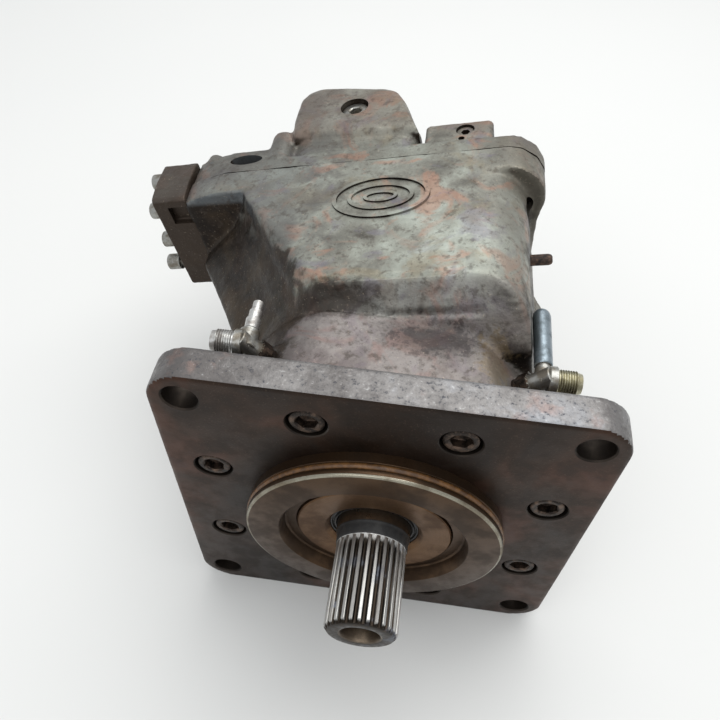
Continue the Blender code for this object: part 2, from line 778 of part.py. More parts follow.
def make_control_valve(body):
    back, front = 212.0, 262.0
    outline = rounded_box(back, front, 20, 112, 3, 2)
    block = mesh_object(
        "control_valve_block", extruded_along_x(outline, -190, VALVE_FACE_X - GAP), "cast_iron", body
    )
    notch = rounded_box(back - 5, 218, 88, 104, 2, 2)
    cut(block, "notch", extruded_along_x(notch, -178, -150))
    holes = bmesh.new()
    for y, z in valve_screw_places():
        extruded_along_x([(y + u, z + v) for u, v in circle(4 + GAP, 10)], -200, -150, holes)
    cut(block, "screw_holes", holes)
    spool_x, spool_y = -175.0, 246.0
    bore = extruded_along_z([(spool_x + u, spool_y + v) for u, v in circle(6, 16)], 10, 93)
    cut(block, "spool_bore", bore)

    small, large = 4.0, 6 - GAP
    profile = [
        (0, -31),
        (large, -31),
        (large, -20),
        (small, -18),
        (small, -6),
        (large, -4),
        (large, 6),
        (small, 8),
        (small, 18),
        (large, 20),
        (large, 31),
        (0, 31),
    ]
    bm = turned(profile, 12)
    bmesh.ops.rotate(bm, matrix=Matrix.Rotation(math.radians(90), 3, "X"), verts=bm.verts)
    place(mesh_object("control_spool", bm, "machined_steel", body), spool_x, spool_y, 57)
    for i, (y, z) in enumerate(valve_screw_places()):
        screw = cap_screw(f"valve_screw_{i + 1}", body, 6.8, 12, 4, 46, "dark_steel")
        screw.rotation_euler = (0, 0, math.radians(-90))
        place(screw, -190 - GAP, y, z)


def make_regulator(body):
    outline = rounded_box(27, 79, 40, PAD_TOP - 2, 4, 2)
    block = extruded(outline, COVER_BACK + GAP, 277)
    block = mesh_object("regulator_block", block, "cast_iron", body)
    sockets = extruded_along_z([(58 + u, 267 + v) for u, v in circle(7.0, 16)], 104, 130)
    extruded_along_z([(55.5 + u, 256.2 + v) for u, v in circle(2.4, 10)], 106, 130, sockets)
    cut(block, "sockets", sockets)


def fitting_axis(side, clock=0.0):
    """Inward direction of a fitting's stem and the middle of its elbow, in the pump or the body frame."""
    (x, z), = turned_outline([(side * FITTING_X, FITTING_Z)], clock)
    middle = Vector((x, FITTING_Y, z))
    return Vector((-x, 0, -z)).normalized(), middle


def make_fitting(name, pump, side, tail):
    """Tee fitting: a stem into the housing, a thread out to the side and a leg to the rear."""
    inward, middle = fitting_axis(side)
    reach = math.hypot(FITTING_X, FITTING_Z)
    stem = rod(((6, -7), (6, 8), (9, 8), (9, 16.5), (7, 16.5), (7, reach - 98)), middle, inward, 12)
    fitting = mesh_object(name, stem, "zinc", pump)
    steps = ((6, -3), (6, 2), (9, 2), (9, 7.5), (7.5, 7.5), (7.5, 20.5), (6.5, 21.8))
    join(fitting, "outlet", rod(steps, middle, Vector((side, 0, 0)), 12))
    leg = [[(middle.x + u, y, middle.z + v) for u, v in circle(radius, 10)] for radius, y in tail]
    join(fitting, "rear_leg", loft(leg))
    bore = rod(((3.5, 6), (3.5, 30)), middle, Vector((side, 0, 0)), 8)
    cut(fitting, "bore", bore)


def make_stop_pin(body):
    profile = [(0, 98), (4.2, 98), (4.2, 117), (2.6, 119), (0, 119)]
    bm = turned(profile, 12)
    bmesh.ops.rotate(bm, matrix=Matrix.Rotation(math.radians(-90), 3, "Z"), verts=bm.verts)
    place(mesh_object("stop_pin", bm, "dark_steel", body), 0, 190, 47)


# ---------------------------------------------------------------- assembly


def settle(pump):
    """Puts the row's origin under the middle of the whole pump, at its lowest point."""
    bpy.context.view_layer.update()
    graph = bpy.context.evaluated_depsgraph_get()
    points = []
    for obj in bpy.data.objects:
        if obj.type == "MESH" and not obj.hide_render:
            shape = obj.evaluated_get(graph)
            points += [shape.matrix_world @ v.co for v in shape.data.vertices]
    low = [min(p[i] for p in points) for i in range(3)]
    high = [max(p[i] for p in points) for i in range(3)]
    pump.location = (-(low[0] + high[0]) / 2, -(low[1] + high[1]) / 2, -low[2])


def main():
    clear_scene()
    pump = empty("pump")
    body = empty("body", pump)
    body.rotation_euler = (0, math.radians(-BODY_CLOCK), 0)
    tilt = empty("tilt_axis", body, (0, TILT_AXIS_Y, 0))
    make_flange(pump)
    make_seal(pump)
    make_shaft(pump)
    make_bearings(pump)
    make_housing(body)
    make_cradle(tilt)
    make_cradle_bearings(body)
    make_control_piston(body)
    make_pistons(body)
    make_retainer(body)
    make_barrel(body)
    make_barrel_spring(body)
    make_valve_plate(body)
    make_end_cover(body)
    make_control_valve(body)
    make_regulator(body)
    barbed = ((5.5, 57), (5.5, 72), (4.6, 73), (5, 80), (4, 80), (4.4, 87), (3.4, 87), (3.6, 95))
    capped = ((5.5, 57), (5.5, 68), (4.4, 68), (4.4, 70), (5.6, 70), (5.6, 109), (4.2, 111.5))
    make_fitting("left_fitting", pump, -1, barbed)
    make_fitting("right_fitting", pump, 1, capped)
    make_stop_pin(body)
    settle(pump)


main()
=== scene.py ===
"""Looks of a variable axial piston pump with a square four-bolt mounting flange.

Lengths are millimetres until a piece is made, and its matrix turns them into metres.
Pump frame: the shaft axis is Y, its origin is the flange's mating face, +Y runs to the rear, +Z is up.
Body frame: the pump frame turned about the shaft, because the body is clocked against the flange.
"""

import math

import bmesh
import bpy
from mathutils import Matrix, Vector, noise


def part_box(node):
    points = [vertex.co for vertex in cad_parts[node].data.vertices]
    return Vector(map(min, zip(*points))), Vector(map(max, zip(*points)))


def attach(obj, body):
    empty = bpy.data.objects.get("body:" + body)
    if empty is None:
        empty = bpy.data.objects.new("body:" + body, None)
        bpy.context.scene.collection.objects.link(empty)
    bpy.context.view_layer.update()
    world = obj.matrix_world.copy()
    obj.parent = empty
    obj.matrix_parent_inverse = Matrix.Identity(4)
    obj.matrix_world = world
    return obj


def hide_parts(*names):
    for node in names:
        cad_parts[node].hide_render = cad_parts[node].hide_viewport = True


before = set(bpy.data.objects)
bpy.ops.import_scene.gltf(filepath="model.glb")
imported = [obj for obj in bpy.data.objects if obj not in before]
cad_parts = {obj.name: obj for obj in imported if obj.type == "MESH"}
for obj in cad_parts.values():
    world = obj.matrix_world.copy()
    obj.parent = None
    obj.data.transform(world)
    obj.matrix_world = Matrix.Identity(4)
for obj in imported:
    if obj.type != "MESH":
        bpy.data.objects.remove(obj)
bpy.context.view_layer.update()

MM = 0.001
BODY_CLOCK = 13.0
PLATE_HALF = 132.0
PLATE_THICK = 22.0
PILOT_R = 82.5
BOLT_HALF = 112.25
SCREW_CIRCLE_R = 111.0
FIRST_SCREW_DEG = 22.5
SEAM = 236.0
PAST_SEAM = SEAM + 6
PAD_TOP = 115.0
FOOT_Z = -113.3
NECK_TOP = 95.0
NECK_CREASE_Y = 94.5
PAD_CREASE_Y = 109.5
TILT_AXIS_Y = 118.0
VALVE_SKEW = 0.12
BADGE_CENTRE = (2, 190)
FITTING_X, FITTING_Y, FITTING_Z = 91.0, 60.0, 92.0
M14_HOLE_R = 7.3
M8_HOLE_R = 4.3
SHARP_DEG = 32
CAMERA_PLACE = Vector((7.24, -212.37, 428.45))
CAMERA_RIGHT = Vector((0.9908, 0.1328, 0.0260))
CAMERA_BACK = Vector((0.0634, -0.6256, 0.7775))
CAMERA_LENS = 35.56

plate_low, plate_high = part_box("flange_plate")
ORIGIN = Vector((
    (plate_low.x + plate_high.x) / 2,
    plate_high.y - PLATE_THICK * MM,
    (plate_low.z + plate_high.z) / 2,
))
PUMP = Matrix.Translation(ORIGIN) @ Matrix.Scale(MM, 4)
BODY = PUMP @ Matrix.Rotation(math.radians(-BODY_CLOCK), 4, "Y")


# ---------------------------------------------------------------- outlines and solids


def circle(radius, count, start=0.0):
    turns = [start + 2 * math.pi * i / count for i in range(count)]
    return [(radius * math.cos(a), radius * math.sin(a)) for a in turns]


def hexagon(across_flats, count):
    """A hexagon's outline with count points, six of them on its corners."""
    points = []
    for i in range(count):
        turn = 2 * math.pi * i / count
        reach = across_flats / 2 / math.cos(turn % (math.pi / 3) - math.pi / 6)
        points.append((reach * math.cos(turn), reach * math.sin(turn)))
    return points


def rounded_box(left, right, low, high, radius, steps=8):
    """An outline with four round corners, anticlockwise from the low right one."""
    radii = radius if isinstance(radius, tuple) else (radius,) * 4
    corners = ((right, low, -90), (right, high, 0), (left, high, 90), (left, low, 180))
    points = []
    for (u, v, start), r in zip(corners, radii):
        centre_u = u - r if u == right else u + r
        centre_v = v - r if v == high else v + r
        for i in range(steps + 1):
            turn = math.radians(start + 90 * i / steps)
            points.append((centre_u + r * math.cos(turn), centre_v + r * math.sin(turn)))
    return points


def turned_outline(outline, degrees):
    c, s = math.cos(math.radians(degrees)), math.sin(math.radians(degrees))
    return [(u * c - v * s, u * s + v * c) for u, v in outline]


def shrunk(outline, amount):
    """The outline drawn in towards its middle by about amount."""
    mid_u = sum(p[0] for p in outline) / len(outline)
    mid_v = sum(p[1] for p in outline) / len(outline)
    points = []
    for u, v in outline:
        reach = math.hypot(u - mid_u, v - mid_v)
        share = (reach - amount) / reach
        points.append((mid_u + (u - mid_u) * share, mid_v + (v - mid_v) * share))
    return points


def loft(sections, into=None):
    """A closed solid through rings of points; a ring of one point closes to a tip."""
    bm = into or bmesh.new()
    rings = [[bm.verts.new(p) for p in section] for section in sections]
    for a, b in zip(rings, rings[1:]):
        count = max(len(a), len(b))
        for i in range(count):
            j = (i + 1) % count
            if len(a) == 1:
                bm.faces.new((a[0], b[j], b[i]))
            elif len(b) == 1:
                bm.faces.new((a[i], a[j], b[0]))
            else:
                bm.faces.new((a[i], a[j], b[j], b[i]))
    if len(rings[0]) > 1:
        bm.faces.new(rings[0][::-1])
    if len(rings[-1]) > 1:
        bm.faces.new(rings[-1])
    return bm


def along_y(outline, start, end, into=None):
    return loft([[(x, y, z) for x, z in outline] for y in (start, end)], into)


def along_x(outline, start, end, into=None):
    return loft([[(x, y, z) for y, z in outline] for x in (start, end)], into)


def along_z(outline, start, end, into=None):
    return loft([[(x, y, z) for x, y in outline] for z in (start, end)], into)


def turned(profile, count=64, into=None, x=0.0, z=0.0):
    """A solid turned about Y from (radius, y) points; a radius may be an outline instead."""
    sections = []
    for radius, y in profile:
        ring = radius if isinstance(radius, list) else circle(radius, count)
        section = [(x, y, z)] if radius == 0 else [(x + u, y, z + v) for u, v in ring]
        sections.append(section)
    return loft(sections, into)


def ring_solid(rings):
    """A closed tube through rings of points, the last one joined to the first."""
    bm = bmesh.new()
    rings = [[bm.verts.new(p) for p in ring] for ring in rings]
    for a, b in zip(rings, rings[1:] + rings[:1]):
        for i in range(len(a)):
            j = (i + 1) % len(a)
            bm.faces.new((a[i], a[j], b[j], b[i]))
    return bm


def turned_ring(profile, count=96):
    """A ring turned about Y from a closed loop of (radius, y) points."""
    return ring_solid([[(x, y, z) for x, z in circle(r, count)] for r, y in profile])


def rod(steps, start, direction, count=32, into=None):
    """A stepped bar in the plane of X and Z: steps are (radius or outline, distance)."""
    side = direction.cross(Vector((0, 1, 0)))
    sections = []
    for radius, reach in steps:
        ring = radius if isinstance(radius, list) else circle(radius, count)
        centre = start + direction * reach
        sections.append([centre + side * u + Vector((0, v, 0)) for u, v in ring])
    return loft(sections, into)


def box_solid(low, high):
    corners = [(low[0], low[2]), (high[0], low[2]), (high[0], high[2]), (low[0], high[2])]
    return along_y(corners, low[1], high[1])


def trim(bm, point, outward):
    """Cuts away what lies outside a plane and closes the cut."""
    geometry = bm.verts[:] + bm.edges[:] + bm.faces[:]
    cut_edges = bmesh.ops.bisect_plane(
        bm, geom=geometry, plane_co=point, plane_no=outward, clear_outer=True
    )["geom_cut"]
    edges = [e for e in cut_edges if isinstance(e, bmesh.types.BMEdge)]
    bmesh.ops.contextual_create(bm, geom=edges)
    return bm


def joined(*parts):
    """Several solids in one mesh."""
    whole = bmesh.new()
    for part in parts:
        mesh = bpy.data.meshes.new("part")
        part.to_mesh(mesh)
        part.free()
        whole.from_mesh(mesh)
        bpy.data.meshes.remove(mesh)
    return whole


def temporary(bm):
    bmesh.ops.recalc_face_normals(bm, faces=bm.faces)
    mesh = bpy.data.meshes.new("temporary")
    bm.to_mesh(mesh)
    bm.free()
    obj = bpy.data.objects.new("temporary", mesh)
    bpy.context.scene.collection.objects.link(obj)
    return obj


def settled(obj, helpers=()):
    """The mesh with its modifiers applied, as a bmesh; the object and its helpers go."""
    graph = bpy.context.evaluated_depsgraph_get()
    mesh = bpy.data.meshes.new_from_object(obj.evaluated_get(graph))
    bm = bmesh.new()
    bm.from_mesh(mesh)
    for used in (obj, *helpers):
        old = used.data
        bpy.data.objects.remove(used)
        bpy.data.meshes.remove(old)
    bpy.data.meshes.remove(mesh)
    return bm


def combined(bm, *steps, solver="EXACT"):
    """Booleans in order: each step is (operation, solid)."""
    obj = temporary(bm)
    helpers = []
    for operation, solid in steps:
        helper = temporary(solid)
        modifier = obj.modifiers.new(operation, "BOOLEAN")
        modifier.operation = operation
        modifier.solver = solver
        modifier.object = helper
        helpers.append(helper)
    return settled(obj, helpers)


def cast(bm, voxel, passes):
    """Melts overlapping solids into one skin with soft corners and fillets."""
    obj = temporary(bm)
    remesh = obj.modifiers.new("skin", "REMESH")
    remesh.mode = "VOXEL"
    remesh.voxel_size = voxel
    smooth = obj.modifiers.new("soft", "SMOOTH")
    smooth.factor = 0.5
    smooth.iterations = passes
    return settled(obj)


def roughened(bm, *layers):
    """Moves each vertex along its normal by noise: layers are (feature size, height)."""
    bm.normal_update()
    for v in bm.verts:
        lift = sum(noise.noise(v.co / size) * height for size, height in layers)
        v.co += v.normal * lift
    return bm


# ---------------------------------------------------------------- finishes


def srgb(red, right_lit_green, blue):
    linear = [((c / 255 + 0.055) / 1.055) ** 2.4 for c in (red, right_lit_green, blue)]
    return (*linear, 1.0)


class Finish:
    """A node material under construction, in the coordinates of the mesh in metres."""

    def __init__(self, name, metallic=0.0, roughness=0.5):
        self.material = bpy.data.materials.new(name)
        self.material.use_nodes = True
        self.tree = self.material.node_tree
        self.shader = self.tree.nodes["Principled BSDF"]
        self.shader.inputs["Metallic"].default_value = metallic
        self.shader.inputs["Roughness"].default_value = roughness
        self.coords = self.tree.nodes.new("ShaderNodeTexCoord").outputs["Object"]

    def node(self, kind, **settings):
        made = self.tree.nodes.new(kind)
        for key, value in settings.items():
            setattr(made, key, value)
        return made

    def put(self, value, socket):
        if isinstance(value, bpy.types.NodeSocket):
            self.tree.links.new(value, socket)
        else:
            socket.default_value = value

    def noise(self, size_mm, detail=4.0, roughness=0.55, stretch=(1, 1, 1), distortion=0.0):
        coords = self.coords
        if stretch != (1, 1, 1):
            scaled = self.node("ShaderNodeMapping")
            scaled.inputs["Scale"].default_value = stretch
            self.put(coords, scaled.inputs["Vector"])
            coords = scaled.outputs["Vector"]
        made = self.node("ShaderNodeTexNoise")
        self.put(coords, made.inputs["Vector"])
        made.inputs["Scale"].default_value = 1000 / size_mm
        made.inputs["Detail"].default_value = detail
        made.inputs["Roughness"].default_value = roughness
        made.inputs["Distortion"].default_value = distortion
        return made.outputs["Fac"]

    def calc(self, operation, a, b):
        made = self.node("ShaderNodeMath", operation=operation)
        self.put(a, made.inputs[0])
        self.put(b, made.inputs[1])
        return made.outputs[0]

    def remap(self, value, low, high, to_low=0.0, to_high=1.0):
        made = self.node("ShaderNodeMapRange", interpolation_type="SMOOTHSTEP")
        self.put(value, made.inputs["Value"])
        limits = {"From Min": low, "From Max": high, "To Min": to_low, "To Max": to_high}
        for name, number in limits.items():
            made.inputs[name].default_value = number
        return made.outputs["Result"]

    def mix(self, share, a, b, blend="MIX"):
        made = self.node("ShaderNodeMix", data_type="RGBA", blend_type=blend)
        self.put(share, made.inputs["Factor"])
        self.put(a, made.inputs[6])
        self.put(b, made.inputs[7])
        return made.outputs[2]

    def ramp(self, value, *stops):
        made = self.node("ShaderNodeValToRGB")
        elements = made.color_ramp.elements
        while len(elements) < len(stops):
            elements.new(0.5)
        for element, (place, colour) in zip(elements, stops):
            element.position = place
            element.color = colour
        self.put(value, made.inputs["Fac"])
        return made.outputs["Color"]

    def facing(self, x, y, z):
        """How far the surface faces a direction, from -1 to 1."""
        made = self.node("ShaderNodeVectorMath", operation="DOT_PRODUCT")
        self.put(self.node("ShaderNodeNewGeometry").outputs["Normal"], made.inputs[0])
        made.inputs[1].default_value = Vector((x, y, z)).normalized()
        return made.outputs["Value"]

    def distance_mm(self, matrix, x, y, z, weights=(1, 1, 1)):
        """Distance in millimetres from a point given in a frame, with each axis weighted."""
        moved = self.node("ShaderNodeVectorMath", operation="SUBTRACT")
        self.put(self.coords, moved.inputs[0])
        moved.inputs[1].default_value = matrix @ Vector((x, y, z))
        scaled = self.node("ShaderNodeVectorMath", operation="MULTIPLY")
        self.put(moved.outputs[0], scaled.inputs[0])
        scaled.inputs[1].default_value = [w / MM for w in weights]
        length = self.node("ShaderNodeVectorMath", operation="LENGTH")
        self.put(scaled.outputs[0], length.inputs[0])
        return length.outputs["Value"]

    def along_mm(self, matrix, x, y, z):
        """Coordinate in millimetres along a direction of a frame."""
        direction = (matrix.to_3x3() @ Vector((x, y, z))).normalized()
        made = self.node("ShaderNodeVectorMath", operation="DOT_PRODUCT")
        self.put(self.coords, made.inputs[0])
        made.inputs[1].default_value = direction / MM
        return self.calc("SUBTRACT", made.outputs["Value"], direction.dot(ORIGIN) / MM)

    def colour(self, value):
        self.put(value, self.shader.inputs["Base Color"])

    def gloss(self, value):
        self.put(value, self.shader.inputs["Roughness"])

    def bump(self, *layers):
        """Layers are (height source, height in millimetres)."""
        normal = None
        for height, depth in layers:
            made = self.node("ShaderNodeBump")
            made.inputs["Distance"].default_value = depth * MM
            self.put(height, made.inputs["Height"])
            if normal is not None:
                self.put(normal, made.inputs["Normal"])
            normal = made.outputs["Normal"]
        self.put(normal, self.shader.inputs["Normal"])
        return self.material


BODY_UP = BODY.to_3x3() @ Vector((0, 0, 1))
BODY_RIGHT = BODY.to_3x3() @ Vector((1, 0, 0))


def cast_top_colour(f, tone, patch, rearward, across):
    """Green-grey of the top with copper, violet and olive clouds, duller towards its borders."""
    colour = f.ramp(
        tone,
        (0.34, srgb(82, 80, 75)),
        (0.44, srgb(124, 124, 116)),
        (0.54, srgb(152, 156, 147)),
        (0.66, srgb(172, 179, 171)),
    )
    copper = f.remap(f.noise(36, 4, 0.6, distortion=1.0), 0.51, 0.64, 0.0, 0.62)
    colour = f.mix(copper, colour, srgb(164, 124, 104))
    violet = f.remap(f.noise(31, 4, 0.6, distortion=0.8), 0.53, 0.66, 0.0, 0.5)
    colour = f.mix(violet, colour, srgb(112, 106, 122))
    olive = f.remap(f.noise(45, 4, 0.6, distortion=0.8), 0.54, 0.68, 0.0, 0.45)
    colour = f.mix(olive, colour, srgb(128, 116, 92))
    neck = f.remap(rearward, 104, 110, 0.5, 0.0)
    colour = f.mix(neck, colour, srgb(108, 100, 102))
    collar = f.remap(rearward, 90, 96, 0.5, 0.0)
    pink = f.mix(f.remap(patch, 0.45, 0.6), srgb(92, 80, 82), srgb(116, 104, 104))
    colour = f.mix(collar, colour, pink)
    along = f.calc("ADD", rearward, f.remap(patch, 0.3, 0.7, -9, 9))
    left_rear = f.calc("MULTIPLY", f.remap(across, -70, -20, 0.6, 0.0), f.remap(along, 110, 150))
    colour = f.mix(left_rear, colour, srgb(92, 92, 92))
    colour = f.mix(f.remap(across, 66, 92, 0.0, 0.5), colour, srgb(104, 100, 92))
    behind = f.calc("MULTIPLY", f.remap(along, 258, 282), f.remap(across, 60, 20, 0.8, 0.3))
    return f.mix(behind, colour, srgb(124, 106, 94))


def cast_side_colour_and_shade(f, tone, light_from_right):
    """Near-black brown of the sides, partly their own darker colour and partly painted shade; lighter
    and greener where they face right, as painted light.
    """
    brown = f.ramp(
        tone,
        (0.38, srgb(16, 13, 11)),
        (0.5, srgb(29, 21, 15)),
        (0.64, srgb(56, 44, 31)),
    )
    # Painted light: faces turned to the right take a lighter green.
    right_lit_green = f.mix(f.remap(tone, 0.4, 0.6), srgb(50, 47, 42), srgb(86, 88, 80))
    return f.mix(f.remap(light_from_right, 0.1, 0.7, 0.0, 0.5), brown, right_lit_green)


def cast_lit_share(f, patch, rearward, height, light_from_right):
    """How much of the lit top's colour shows over the side colour: painted light and shade by slope and
    by facing right, and painted shade past the top's left edge.
    """
    # Painted light: facing up, and a little more facing right, brings in the lit top colour.
    up = f.calc("ADD", f.facing(*BODY_UP), f.remap(light_from_right, 0.0, 1.0, 0.0, 0.12))
    share = f.remap(f.calc("ADD", up, f.remap(patch, 0.3, 0.7, -0.2, 0.2)), 0.2, 0.62)
    # Painted shade over the left flank, past the top's left edge.
    over_edge = f.calc("ADD", f.along_mm(BODY, -91, -74, 0), f.remap(patch, 0.3, 0.7, 40, 50))
    leftward = f.calc("ADD", f.along_mm(BODY, -1, 0, 0), f.remap(patch, 0.3, 0.7, -9, 9))
    shaded = f.calc("MULTIPLY", f.remap(over_edge, -3, 7), f.remap(leftward, 36, 56))
    # Painted light: the rim band is kept free of that painted shade.
    rim = f.calc("MULTIPLY", f.remap(rearward, 202, 209), f.remap(height, 96, 106))
    shaded = f.calc("MULTIPLY", shaded, f.calc("SUBTRACT", 1.0, rim))
    return f.calc("MULTIPLY", share, f.remap(shaded, 0.0, 1.0, 1.0, 0.06))


def blotch(f, mottle, place, reach, wander, edge, share):
    """A patch with a ragged rim, for stains and for painted shade: reach is its half size along the axes
    of the pump frame.
    """
    distance = f.distance_mm(PUMP, *place, [1 / r for r in reach])
    ragged = f.calc("ADD", distance, f.remap(mottle, 0.3, 0.7, -wander, wander))
    return f.remap(ragged, *edge, share, 0.0)


def cast_skin(name, brown=0.0, dark=0.0):
    """Heat-tinted cast iron with painted light and shade by facing: brown is a wash over it, and dark
    holds back the lit top's colour.
    """
    f = Finish(name, metallic=0.45, roughness=0.45)
    f.shader.inputs["Specular IOR Level"].default_value = 0.2
    broad = f.noise(95, 3, 0.5, distortion=0.6)
    patch = f.noise(24, 5, 0.6, distortion=0.4)
    mottle = f.noise(6, 6, 0.65)
    speck = f.noise(1.6, 3, 0.6)
    tone = f.calc("ADD", f.calc("MULTIPLY", broad, 0.5), f.calc("MULTIPLY", patch, 0.5))
    rearward = f.along_mm(BODY, 0, 1, 0)
    height = f.along_mm(BODY, 0, 0, 1)
    across = f.calc("ADD", f.along_mm(BODY, 1, 0, 0), f.remap(patch, 0.3, 0.7, -14, 14))
    light_from_right = f.facing(*BODY_RIGHT)
    # Painted light and shade: the lit top colour on up-facing surfaces, the side colour with its painted
    # shade on the rest.
    top = cast_top_colour(f, tone, patch, rearward, across)
    side = cast_side_colour_and_shade(f, tone, light_from_right)
    share = f.calc("MULTIPLY", cast_lit_share(f, patch, rearward, height, light_from_right), 1.0 - dark)
    colour = f.mix(share, side, top)
    if brown:
        colour = f.mix(brown, colour, srgb(64, 54, 46))
    # Painted shade in the concave valley before the pad's front-left edge.
    valley_shade = blotch(f, mottle, (-46, 101, 96), (40, 13, 26), 0.2, (0.5, 1.15), 0.88)
    colour = f.mix(valley_shade, colour, srgb(40, 33, 28))
    along = f.calc("ADD", rearward, f.remap(patch, 0.3, 0.7, -9, 9))
    # Painted light on the right lug's front face, taking back part of the side colour's painted shade
    # there.
    lug_light = f.calc("MULTIPLY", f.remap(across, 84, 96, 0.0, 0.6), f.remap(along, 196, 206))
    colour = f.mix(lug_light, colour, srgb(106, 102, 92))
    if not dark:
        # Painted highlight: a pale blue-grey band along the top of front-facing faces on the left.
        brow_highlight = f.calc("MULTIPLY", f.remap(height, 102, 107), f.remap(across, -104, -84, 0.55, 0.0))
        frontal = f.remap(f.facing(0, -1, 0), 0.3, 0.8)
        colour = f.mix(f.calc("MULTIPLY", brow_highlight, frontal), colour, srgb(108, 114, 118))
    stain = blotch(f, mottle, (26, 80, 95), (34, 15, 14), 0.45, (0.45, 1.15), 0.75)
    colour = f.mix(stain, colour, srgb(42, 38, 38))
    rust = blotch(f, mottle, (62, 72, 92), (12, 26, 12), 0.5, (0.4, 1.1), 0.45)
    colour = f.mix(rust, colour, srgb(120, 104, 78))
    colour = f.mix(f.remap(mottle, 0.52, 0.66, 0.0, 0.5), colour, srgb(70, 62, 56))
    colour = f.mix(f.remap(speck, 0.62, 0.74, 0.0, 0.3), colour, srgb(186, 172, 152))
    colour = f.mix(f.remap(speck, 0.28, 0.4, 0.45, 0.0), colour, srgb(46, 40, 34))
    f.colour(colour)
    f.gloss(f.remap(mottle, 0.35, 0.7, 0.36, 0.56))
    return f.bump((patch, 0.5), (mottle, 0.25), (speck, 0.14))


def machined(name, colour, tint, roughness=0.35, metallic=1.0, centre=None):
    """Cut steel with fine tool marks: rings about the shaft axis, or a fine grain."""
    f = Finish(name, metallic=metallic, roughness=roughness)
    patch = f.noise(22, 4, 0.6)
    grain = f.noise(0.8, 3, 0.6)
    colour = f.mix(f.remap(patch, 0.4, 0.65), colour, tint)
    colour = f.mix(f.remap(grain, 0.45, 0.75, 0.0, 0.3), colour, srgb(40, 34, 30))
    layers = [(grain, 0.04)]
    if centre:
        radius = f.distance_mm(PUMP, 0, 0, 0, (1, 0, 1))
        rings = f.node("ShaderNodeTexNoise", noise_dimensions="1D")
        f.put(radius, rings.inputs["W"])
        rings.inputs["Scale"].default_value = 1.6
        rings.inputs["Detail"].default_value = 3
        marks = rings.outputs["Fac"]
        colour = f.mix(f.remap(marks, 0.35, 0.65, 0.0, 0.3), colour, tint)
        layers.append((marks, 0.05))
    f.colour(colour)
    f.gloss(f.remap(patch, 0.35, 0.65, roughness - 0.08, roughness + 0.12))
    return f.bump(*layers)


def plate_face():
    """Dark heat-browned face of the flange, with copper and violet clouds."""
    f = Finish("plate_face", metallic=0.75, roughness=0.42)
    broad = f.noise(70, 4, 0.55, distortion=0.5)
    patch = f.noise(18, 5, 0.6)
    fine = f.noise(1.2, 4, 0.6)
    colour = f.ramp(
        broad,
        (0.35, srgb(36, 28, 23)),
        (0.5, srgb(50, 36, 27)),
        (0.62, srgb(72, 48, 37)),
        (0.72, srgb(56, 46, 46)),
    )
    colour = f.mix(f.remap(patch, 0.5, 0.7, 0.0, 0.5), colour, srgb(40, 35, 31))
    colour = f.mix(f.remap(fine, 0.58, 0.72, 0.0, 0.25), colour, srgb(104, 88, 76))
    f.colour(colour)
    f.gloss(f.remap(patch, 0.35, 0.65, 0.36, 0.52))
    return f.bump((patch, 0.08), (fine, 0.05))


def plate_edge():
    """Blue-grey rolled edge of the flange, pitted and stained, with painted shade towards the left and
    painted highlight towards the right.
    """
    f = Finish("plate_edge", metallic=0.7, roughness=0.42)
    broad = f.noise(60, 3, 0.5)
    patch = f.noise(14, 5, 0.65, distortion=0.5)
    pit = f.noise(2.6, 5, 0.7)
    tone = f.calc("ADD", f.calc("MULTIPLY", broad, 0.55), f.calc("MULTIPLY", patch, 0.45))
    # Painted shade and highlight: darker towards the left, lighter and bluer towards the right, where
    # the key light falls.
    light_from_right = f.remap(f.along_mm(PUMP, 1, 0, 0), -132, 120, -0.17, 0.0)
    colour = f.ramp(
        f.calc("ADD", tone, light_from_right),
        (0.34, srgb(94, 91, 90)),
        (0.48, srgb(122, 120, 119)),
        (0.6, srgb(132, 133, 136)),
        (0.72, srgb(138, 143, 148)),
    )
    pink = f.remap(f.noise(26, 4, 0.6), 0.54, 0.68, 0.0, 0.45)
    colour = f.mix(pink, colour, srgb(140, 112, 102))
    colour = f.mix(f.remap(pit, 0.57, 0.66, 0.0, 0.75), colour, srgb(60, 62, 70))
    colour = f.mix(f.remap(pit, 0.3, 0.4, 0.35, 0.0), colour, srgb(180, 182, 182))
    f.colour(colour)
    f.gloss(f.remap(pit, 0.35, 0.65, 0.34, 0.56))
    return f.bump((patch, 0.25), (pit, 0.35))


def spline_steel():
    """Worn bright tooth tops over flutes darkened as painted shade, streaked along the shaft."""
    f = Finish("spline_steel", metallic=1.0, roughness=0.3)
    radius = f.distance_mm(PUMP, 0, 0, 0, (1, 0, 1))
    streak = f.noise(3.0, 5, 0.6, stretch=(1, 0.06, 1))
    patch = f.noise(14, 4, 0.6)
    height = f.calc("ADD", radius, f.remap(streak, 0.3, 0.7, -0.5, 0.5))
    worn_tops_shaded_flutes = f.remap(height, 20.9, 22.3)
    # Bright worn tops of the teeth; painted shade down in the flutes.
    colour = f.mix(worn_tops_shaded_flutes, srgb(44, 39, 34), srgb(184, 183, 180))
    colour = f.mix(f.remap(streak, 0.5, 0.7, 0.0, 0.5), colour, srgb(96, 82, 70))
    colour = f.mix(f.remap(patch, 0.55, 0.7, 0.0, 0.4), colour, srgb(120, 128, 142))
    f.colour(colour)
    f.gloss(f.remap(streak, 0.35, 0.7, 0.28, 0.5))
    return f.bump((streak, 0.06))


